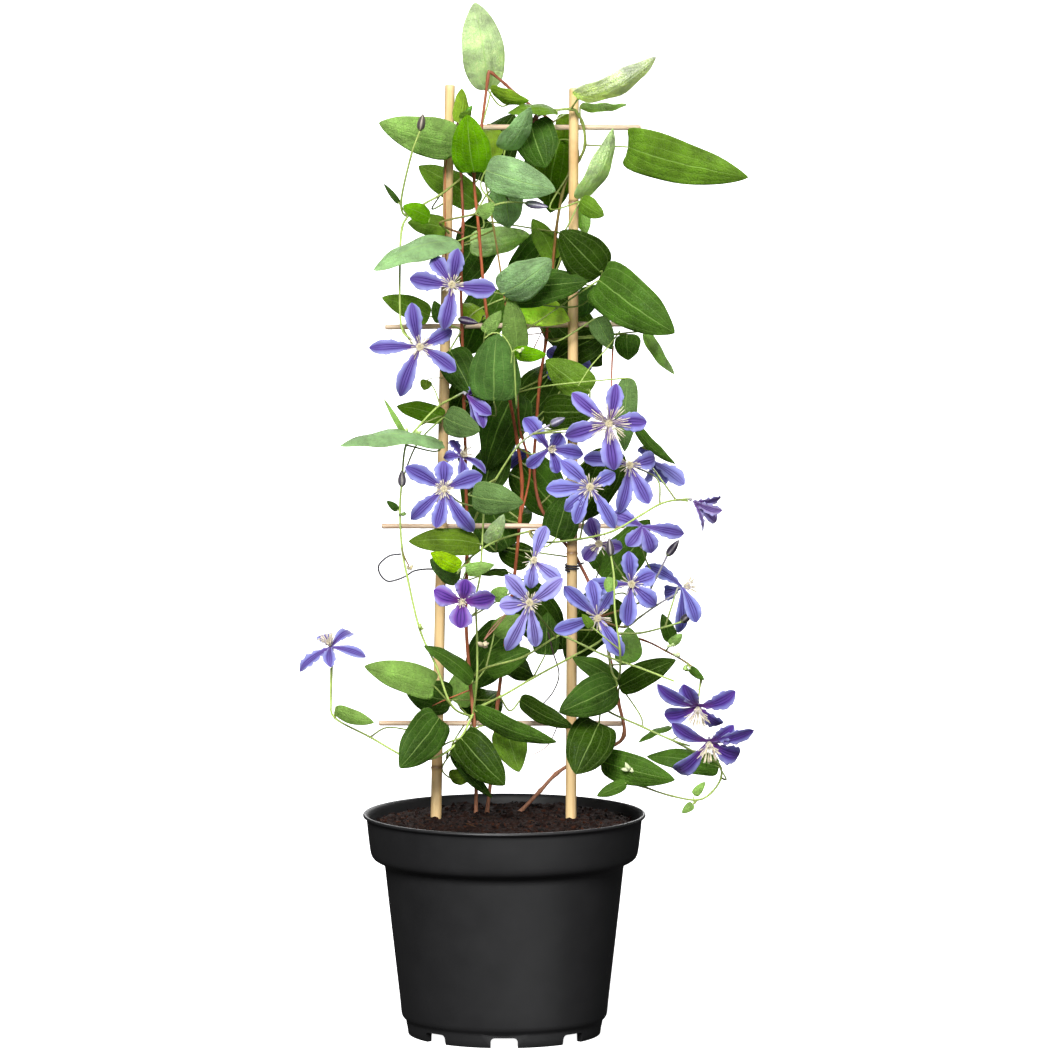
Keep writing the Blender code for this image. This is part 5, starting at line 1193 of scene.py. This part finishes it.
# A waxy upper skin, IOR 1.45, and a matt underside.
leaf_top = leaf_finish("waxy_leaf_upper_side", True)
leaf_under = leaf_finish("matt_leaf_underside", False)
for row, letter in YOUNG_LEAVES:
    base, tip, width, roll = next(leaf_poses(row))
    into = (tip - base).normalized()
    route, stem = next(stalk_ways(base, into))
    leaves.append((stem, (base, tip, width, roll), letter, width * 0.13, ROUND_FOOT))
    petioles.append((stem, route, into, 0.5))
template = points_of(leaf_template)
for stem in STEMS:
    own = [leaf for leaf in leaves if leaf[0] == stem]
    clouds = [leaf_cloud(template[:, 0], template[:, 1], *pose, seed=seed, lobes=lobes)
              for _, pose, _, seed, lobes in own]
    tones = [colour(LEAF_TONES_AND_PAINTED_LIGHT[leaf[2]]) for leaf in own]
    foliage = copies(stem + "_leaves", leaf_template, clouds, tones)
    clothe(foliage, leaf_top, leaf_under)
    apply(foliage, "SOLIDIFY", thickness=0.3 * MM, offset=0.0, material_offset=1, material_offset_rim=1)
    settle(foliage, "leaf_green", stem)
    print(len(own), "leaves")
bpy.data.objects.remove(leaf_template)

# %% [markdown]
# ## Stems, stalks and buds
# The old stems are thin wood with a red-brown bark that turns grey near the soil. The new shoots and the
# leaf stalks, which twine round whatever they touch, are yellow-green. Each is a curve whose thickness
# swells at its joints. A bud is a ribbed drop drawn up ring by ring.

# %% Stems, stalks and buds
STEM_TONES = {
    "bark": "#b98468", "red": "#b6623e", "brown": "#84503a", "olive": "#86904a", "green": "#a0b85e",
    "young": "#b8d070", "lilac": "#a49cae", "dark": "#3a2a20",
}


def gradient(tones, shares):
    """The colours at these shares of the way from the first tone to the last."""
    table = np.array([colour(STEM_TONES[tone]) for tone in tones])
    ends = np.linspace(0, 1, len(tones))
    return np.stack([np.interp(shares, ends, table[:, k]) for k in range(4)], axis=1)


def stem_tube(route, radii, tones, sides):
    """A tube with its tones along it."""
    made = tube("shoot", route, radii, sides)
    places = points_of(made)
    line = np.array(route)
    nearest = ((places[:, None, :] - line[None]) ** 2).sum(axis=2).argmin(axis=1)
    paint(made, gradient(tones, nearest / (len(route) - 1)))
    return made


def nearest_on(routes, point):
    """The point of these routes that lies nearest to this one."""
    return min((place for route in routes for place in route), key=lambda place: (place - point).length)


def swelling(route, joints, thick, thin, swell):
    """The radii along the route: an even taper that swells at the joints."""
    radii = []
    for i, place in enumerate(route):
        radius = thick + (thin - thick) * i / (len(route) - 1)
        apart = min((place - joint).length for joint in joints)
        radii.append(radius * (1 + swell * math.exp(-((apart / (2.6 * MM)) ** 2))))
    return radii


tubes = {name: [] for name in STEMS}
for name, routes in STEMS.items():
    fine = []
    for number, (tones, places) in enumerate(routes):
        line = [seen_at(place) for place in places]
        if number == 0:
            line = [line[0] + (line[0] - line[1]).normalized() * 12 * MM] + line
        else:
            line[0] = nearest_on(fine, line[0])
        route = smooth_route(line, 3.0 * MM)
        thick, thin = (1.3, 0.9) if number == 0 else (0.8, 0.66)
        radii = swelling(route, line[1:-1], thick * MM, thin * MM, 0.35 if number == 0 else 0.18)
        tubes[name].append(stem_tube(route, radii, tones, 10 if number == 0 else 8))
        fine.append(route)

for stem, route, into, thick in petioles:
    line = smooth_route(route + [route[-1] + into * 3 * MM], 2.0 * MM)
    radii = [thick * MM * (1 + 0.35 * math.exp(-i / 1.5)) for i in range(len(line))]
    radii[-1] = radii[-2] = 0.3 * MM
    tubes[stem].append(stem_tube(line, radii, ("olive", "green", "green"), 6))

FACING = {}
for name, (place, facing, *_) in FLOWERS.items():
    middle = seen_at(place)
    facing = Vector((facing[0], -facing[2], facing[1])).normalized()
    FACING[name] = (middle, facing)
    end = middle - facing * 2.9 * MM
    route, stem, found = standing_stalk(end, facing)
    if not found:
        print("stalk not found:", name)
    line = smooth_route(route + [middle - facing * 1.0 * MM], 2.0 * MM)
    radii = [0.62 * MM * (1 + 0.3 * math.exp(-i / 1.5)) for i in range(len(line))]
    radii[-2:] = [1.0 * MM, 1.3 * MM]
    tubes[stem].append(stem_tube(line, radii, ("olive", "green", "lilac"), 8))

bud_template = rings("bud_template", [
    (0.22, 0.0), (0.5, 0.05), (0.85, 0.16), (1.0, 0.32), (0.97, 0.48), (0.82, 0.64), (0.58, 0.8),
    (0.34, 0.91), (0.1, 1.0)], 16)
turned(bud_template)
shape = points_of(bud_template)
column = np.round(np.arctan2(shape[:, 1], shape[:, 0]) / math.tau * 16).astype(int) % 4
for base, tip, groove, rib in BUDS:
    base, tip = seen_at(base), seen_at(tip)
    stem = min(JOINTS, key=lambda joint: (joint[0] - base).length)[1]
    length, along, side, face = blade_axes(base, tip, Vector((0.0, -1.0, 0.1)))
    bulge = 2.6 * MM * np.where(column == 0, 1.06, np.where(column == 2, 0.9, 1.0))
    cloud = (np.array(base) + np.outer(shape[:, 2] * length, along)
             + np.outer(shape[:, 0] * bulge, side) + np.outer(shape[:, 1] * bulge, face))
    bud = copies("bud", bud_template, [cloud])
    tones = np.where((column == 0)[:, None], colour(rib), colour(groove))
    tones = np.where((shape[:, 2] < 0.06)[:, None], colour("#8a9a5a"), tones)
    paint(bud, tones)
    tubes[stem].append(bud)
bpy.data.objects.remove(bud_template)

for stem, tones, thick, places in TWIGS:
    line = smooth_route([seen_at(place) for place in places], 2.5 * MM)
    radii = [thick * MM * (1 - 0.4 * i / len(line)) for i in range(len(line))]
    tubes[stem].append(stem_tube(line, radii, tones, 6))
scale_template = rings("scale_template", [(0.1, 0.0), (0.26, 0.2), (0.3, 0.45), (0.2, 0.75), (0.04, 1.0)], 7)
turned(scale_template)
shape = points_of(scale_template)
for stem, place, count, long, tone in TUFTS:
    clouds, tones = [], []
    for i in range(count):
        heading = Vector((random.gauss(0, 1), random.gauss(0, 1), random.gauss(0.5, 1))).normalized()
        length, along, side, face = blade_axes(Vector(), heading, Vector((0.1, -1.0, 0.2)))
        size = long * random.uniform(0.7, 1.1) * MM
        clouds.append(np.array(seen_at(place)) + (np.outer(shape[:, 2], along) + np.outer(shape[:, 0], side)
                                                  + np.outer(shape[:, 1], face)) * size)
        shade = random.uniform(0.7, 1.15)
        tones.append([channel * shade for channel in colour(tone)])
    tubes[stem].append(copies("tuft", scale_template, clouds, tones))
bpy.data.objects.remove(scale_template)

# Living bark and stalk skin: fine ridges along the stem and a soft shine.
skin, tree, shader = new_finish("clematis_stem_skin", IOR=1.45, Roughness=0.5)
place = add(tree, "TexCoord").outputs["Object"]
tone = add(tree, "Attribute", attribute_name="tone").outputs["Color"]
stretch = add(tree, "Mapping", {"Vector": place, "Scale": (1100.0, 1100.0, 160.0)})
ridges = add(tree, "TexNoise", {"Vector": stretch.outputs[0], "Scale": 1.0, "Detail": 4.0})
light = add(tree, "MapRange", {"Value": ridges.outputs[0], "From Min": 0.3, "From Max": 0.7,
                               "To Min": 0.72, "To Max": 1.28})
shade = add(tree, "Mix", {0: 1.0, 6: tone, 7: light.outputs[0]}, data_type="RGBA", blend_type="MULTIPLY")
tree.links.new(shade.outputs[2], shader.inputs["Base Color"])
relief = add(tree, "Bump", {"Height": ridges.outputs[0], "Strength": 0.4, "Distance": 0.15 * MM})
tree.links.new(relief.outputs[0], shader.inputs["Normal"])
for name, parts in tubes.items():
    wood = joined(name + "_shoots", parts)
    clothe(wood, skin)
    settle(wood, "leaf_green", name)

# %% [markdown]
# ## The flowers
# Four to six tepals on a small seat, each like a spoon: a narrow foot, three raised ribs along its middle,
# a broad blade with a crinkled, paler edge and a tip that turns back. The colour goes from violet-blue to
# dark purple on the ribs and magenta at the foot. One tepal is modelled and every copy gets its own
# crinkles.

# %% The flowers
TEPAL_COLUMNS = [-1, -0.86, -0.66, -0.45, -0.3, -0.15, 0, 0.15, 0.3, 0.45, 0.66, 0.86, 1]
tepal_template = blade_template("tepal_template", 22, TEPAL_COLUMNS)
OUTLINE = ((0, 0.1, 0.22, 0.34, 0.46, 0.58, 0.68, 0.78, 0.86, 0.92, 0.965, 1),
           (0.16, 0.22, 0.38, 0.57, 0.77, 0.93, 1.0, 0.97, 0.83, 0.62, 0.36, 0.0))
# The share by which these flowers' tepals are twisted to show their broad sides.
TWISTED = {"flower_03": 0.4, "flower_04": 0.2, "flower_18": 0.75, "flower_19": 0.3, "flower_20": 0.5,
           "flower_21": 0.5, "flower_22": 0.5}


def tepal_cloud(u, v, middle, tip, width, facing, seed):
    """The tepal's points at (u, v)."""
    length, rib, side, face = blade_axes(middle, tip, facing)
    half = width * MM / 2 * (1 + 0.12 * math.sin(31 * seed)) * np.interp(u, *OUTLINE)
    bow = 0.035 * length * math.sin(17 * seed) * np.sin(math.pi * u)
    turn = 0.75 * math.sin(5.3 * seed + 1) * np.clip(u - 0.25, 0, 1)
    edge = np.abs(v) ** 4
    arch = 0.11 * length * np.sin(math.pi * u)
    cup = 0.2 * half * (np.sqrt(v * v + 0.02) - 0.14)
    ribs = np.exp(-((v / 0.07) ** 2)) + np.exp(-(((np.abs(v) - 0.3) / 0.08) ** 2))
    ribs = 0.3 * MM * ribs * np.sin(math.pi * np.clip(u * 1.02, 0, 1))
    crinkle = np.sin(math.tau * (4.5 * u + seed)) + 0.6 * np.sin(math.tau * (9.0 * u * (1 + 0.2 * v) + 2.7 * seed))
    crinkle = 0.75 * MM * edge * crinkle * np.sin(math.pi * np.clip(u, 0, 1)) ** 0.5
    droop = (0.06 + 0.06 * math.sin(11 * seed)) * length * np.clip((u - 0.74) / 0.26, 0, 1) ** 2
    out = arch + cup + ribs + crinkle - droop + half * v * np.sin(turn)
    return (np.array(middle) + np.outer(u * length, rib)
            + np.outer(half * v * np.cos(turn) + bow + 0.4 * crinkle, side) + np.outer(out, face))


def tepal_finish(name, front):
    """The tepal's front or back: ribs and edges from its own UV, fine veins along it."""
    material, tree, shader = new_finish(name, IOR=1.42, Roughness=0.55, Specular_IOR_Level=0.35,
                                        Sheen_Weight=0.25, Sheen_Roughness=0.5)
    coords = add(tree, "TexCoord")
    uv = add(tree, "SeparateXYZ", {0: coords.outputs["UV"]})
    tint = add(tree, "Attribute", attribute_name="tone")
    across = add(tree, "Math", {0: uv.outputs[1], 1: 2.0, 2: -1.0}, operation="MULTIPLY_ADD")
    side = add(tree, "Math", {0: across.outputs[0]}, operation="ABSOLUTE")
    apart = add(tree, "Math", {0: side.outputs[0], 1: 0.15}, operation="PINGPONG")
    lines = add(tree, "MapRange", {"Value": apart.outputs[0], "From Min": 0.01, "From Max": 0.08,
                                   "To Min": 1.0, "To Max": 0.1}, interpolation_type="SMOOTHSTEP")
    band = add(tree, "MapRange", {"Value": side.outputs[0], "From Min": 0.36, "From Max": 0.6,
                                  "To Min": 0.95, "To Max": 0.0}, interpolation_type="SMOOTHSTEP")
    ribs = add(tree, "Math", {0: lines.outputs[0], 1: band.outputs[0]}, operation="MULTIPLY")
    fade = add(tree, "MapRange", {"Value": uv.outputs[0], "From Min": 0.55, "From Max": 1.0,
                                  "To Min": 1.0, "To Max": 0.35})
    ribs = add(tree, "Math", {0: ribs.outputs[0], 1: fade.outputs[0]}, operation="MULTIPLY")
    foot = add(tree, "MapRange", {"Value": uv.outputs[0], "From Min": 0.1, "From Max": 0.5,
                                  "To Min": 0.85, "To Max": 0.0}, interpolation_type="SMOOTHSTEP")
    magenta = add(tree, "Math", {0: foot.outputs[0], 1: tint.outputs["Alpha"]}, operation="MULTIPLY")
    # Streaks along the tepal, lighter and darker, that also raise its relief: partly its fine veins, partly a painted
    # light and shade on its surface.
    stretch = add(tree, "Mapping", {"Vector": coords.outputs["UV"], "Scale": (5.0, 46.0, 1.0)})
    streaks = add(tree, "TexNoise", {"Vector": stretch.outputs[0], "Scale": 1.0, "Detail": 3.0})
    light = add(tree, "MapRange", {"Value": streaks.outputs[0], "From Min": 0.3, "From Max": 0.7,
                                   "To Min": 0.72, "To Max": 1.3})
    body = add(tree, "Mix", {0: 1.0, 6: tint.outputs["Color"], 7: light.outputs[0]}, data_type="RGBA",
               blend_type="MULTIPLY")
    margin = add(tree, "MapRange", {"Value": side.outputs[0], "From Min": 0.45, "From Max": 1.0,
                                    "To Min": 0.05 if front else 0.3, "To Max": 0.8})
    pale = add(tree, "Mix", {0: margin.outputs[0], 6: body.outputs[2], 7: colour("#bcc0f4")}, data_type="RGBA")
    strong = add(tree, "Math", {0: tint.outputs["Alpha"], 1: 0.5, 2: 0.35 if front else 0.1},
                 operation="MULTIPLY_ADD")
    broad = add(tree, "Math", {0: band.outputs[0], 1: strong.outputs[0]}, operation="MULTIPLY")
    deep = add(tree, "Mix", {0: broad.outputs[0], 6: pale.outputs[2], 7: colour("#6f40b0")}, data_type="RGBA")
    dark = add(tree, "Mix", {0: ribs.outputs[0], 6: deep.outputs[2], 7: colour("#2e1a6c" if front else "#5a4c96")},
               data_type="RGBA")
    heart = add(tree, "Mix", {0: magenta.outputs[0], 6: dark.outputs[2], 7: colour("#7a2b92")}, data_type="RGBA")
    tree.links.new(heart.outputs[2], shader.inputs["Base Color"])
    height = add(tree, "Math", {0: streaks.outputs[0], 1: ribs.outputs[0]}, operation="ADD")
    relief = add(tree, "Bump", {"Height": height.outputs[0], "Strength": 0.5, "Distance": 0.25 * MM})
    tree.links.new(relief.outputs[0], shader.inputs["Normal"])
    through = add(tree, "BsdfTranslucent", {"Color": heart.outputs[2], "Normal": relief.outputs[0]})
    both = add(tree, "MixShader", {0: 0.3, 1: shader.outputs[0], 2: through.outputs[0]})
    tree.links.new(both.outputs[0], tree.nodes["Material Output"].inputs["Surface"])
    return material


# Velvety petal skin, IOR 1.42: the front deep, the back paler.
tepal_front = tepal_finish("velvet_tepal_front", True)
tepal_back = tepal_finish("velvet_tepal_back", False)
template = points_of(tepal_template)
for number, (name, flower) in enumerate(FLOWERS.items()):
    place, _, width, _, tips, tone, magenta = flower
    middle, facing = FACING[name]
    facing = facing.lerp((EYE - middle).normalized(), TWISTED.get(name, 0.0))
    clouds = []
    for i, (column, row, nearer) in enumerate(tips):
        tip = seen_at((column, row, place[2] + nearer))
        seed = 0.31 * number + 0.23 * i
        clouds.append(tepal_cloud(template[:, 0], template[:, 1], middle, tip, width, facing, seed))
    tepals = copies(name + "_tepals", tepal_template, clouds, [colour(tone, magenta)] * len(clouds))
    clothe(tepals, tepal_front, tepal_back)
    apply(tepals, "SOLIDIFY", thickness=0.28 * MM, offset=0.0, material_offset=1, material_offset_rim=1)
    settle(tepals, "tepal_violet", name)
bpy.data.objects.remove(tepal_template)

# %% [markdown]
# ## Stamens and pistils
# A ring of slender stamens, each a flat cream filament with a long anther, round a dome of fine styles.
# In an old flower they spread, in a young one they stand close like a brush. One stamen is modelled with
# a few dozen faces and bent outwards for every copy.

# %% Stamens and pistils
stamen_template = rings("stamen_template", [
    (0.36, 0.0), (0.3, 0.3), (0.3, 0.6), (0.5, 0.68), (0.55, 0.85), (0.3, 1.0)], 5)
turned(stamen_template)
rod = points_of(stamen_template)
spread = np.stack([rod[:, 2], rod[:, 0]], axis=1)
layer = stamen_template.data.uv_layers.new(name="UVMap") if not stamen_template.data.uv_layers else stamen_template.data.uv_layers[0]
corners = np.empty(len(stamen_template.data.loops), dtype=np.int32)
stamen_template.data.loops.foreach_get("vertex_index", corners)
layer.data.foreach_set("uv", spread[corners].reshape(-1))


def stamen_cloud(seat, axes, steep, turn, length, thick, curl):
    """One stamen from the seat, steep degrees off the flower's axis, bending outwards by curl."""
    side, face, out = axes
    swing = np.radians(steep + curl * rod[:, 2])
    reach = rod[:, 2] * length
    radial = math.cos(turn) * np.array(side) + math.sin(turn) * np.array(face)
    across = -math.sin(turn) * np.array(side) + math.cos(turn) * np.array(face)
    centre = np.outer(np.sin(swing) * reach, radial) + np.outer(np.cos(swing) * reach, out)
    upward = np.outer(np.cos(swing), radial) - np.outer(np.sin(swing), out)
    return (np.array(seat) + centre + np.outer(rod[:, 0] * thick, across) + upward * (rod[:, 1] * thick)[:, None])


# Cream stamens, IOR 1.4: filaments tinged with lilac, pale anthers.
cream, tree, shader = new_finish("cream_stamen", IOR=1.4, Roughness=0.6)
uv = add(tree, "SeparateXYZ", {0: add(tree, "TexCoord").outputs["UV"]})
tone = add(tree, "Attribute", attribute_name="tone").outputs["Color"]
tipped = add(tree, "MapRange", {"Value": uv.outputs[0], "From Min": 0.5, "From Max": 0.66,
                                "To Min": 0.0, "To Max": 0.75}, interpolation_type="SMOOTHSTEP")
shade = add(tree, "Mix", {0: tipped.outputs[0], 6: tone, 7: colour("#fdf6dc")}, data_type="RGBA")
tree.links.new(shade.outputs[2], shader.inputs["Base Color"])
through = add(tree, "BsdfTranslucent", {"Color": shade.outputs[2]})
both = add(tree, "MixShader", {0: 0.35, 1: shader.outputs[0], 2: through.outputs[0]})
tree.links.new(both.outputs[0], tree.nodes["Material Output"].inputs["Surface"])
for name, flower in FLOWERS.items():
    if flower[3] is None:
        continue
    length, spread, count = flower[3]
    middle, facing = FACING[name]
    seat = middle + facing * 1.2 * MM
    side = facing.orthogonal().normalized()
    axes = (side, facing.cross(side), facing)
    clouds, tones = [], []
    for i in range(count):
        turn = i * 2.39996
        steep = spread * (0.55 + 0.45 * (i % 3) / 2) * random.uniform(0.85, 1.05)
        long = length * MM * random.uniform(0.78, 0.98)
        start = seat + (side * math.cos(turn) + axes[1] * math.sin(turn)) * 1.0 * MM
        clouds.append(stamen_cloud(start, axes, steep * 0.6, turn, long, 0.64 * MM, steep * 0.55))
        tones.append(colour(random.choice(("#efe6f4", "#fbf5e0", "#e4d8ee", "#fdf8e6"))))
    for i in range(34):
        turn = i * 2.39996
        start = seat + (side * math.cos(turn) + axes[1] * math.sin(turn)) * 0.2 * MM * math.sqrt(i)
        high = (0.5 - 0.004 * i) * min(length, 9.0) * MM
        clouds.append(stamen_cloud(start, axes, 4 * math.sqrt(i), turn, high, 0.8 * MM, 4))
        tones.append(colour(random.choice(("#f4efcc", "#fffae8", "#fbf2d4"))))
    tuft = copies(name.replace("flower", "stamens") + "_tuft", stamen_template, clouds, tones)
    clothe(tuft, cream)
    settle(tuft, "stamen_cream", name.replace("flower", "stamens"))
bpy.data.objects.remove(stamen_template)

# %% [markdown]
# ## Finish
# The box of the finished piece is printed beside the frame's.

# %% Finish
END_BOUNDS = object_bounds()
plain = [[[float(c) for c in corner] for corner in box] for box in (START_BOUNDS, END_BOUNDS)]
print("start", plain[0])
print("finish", plain[1])
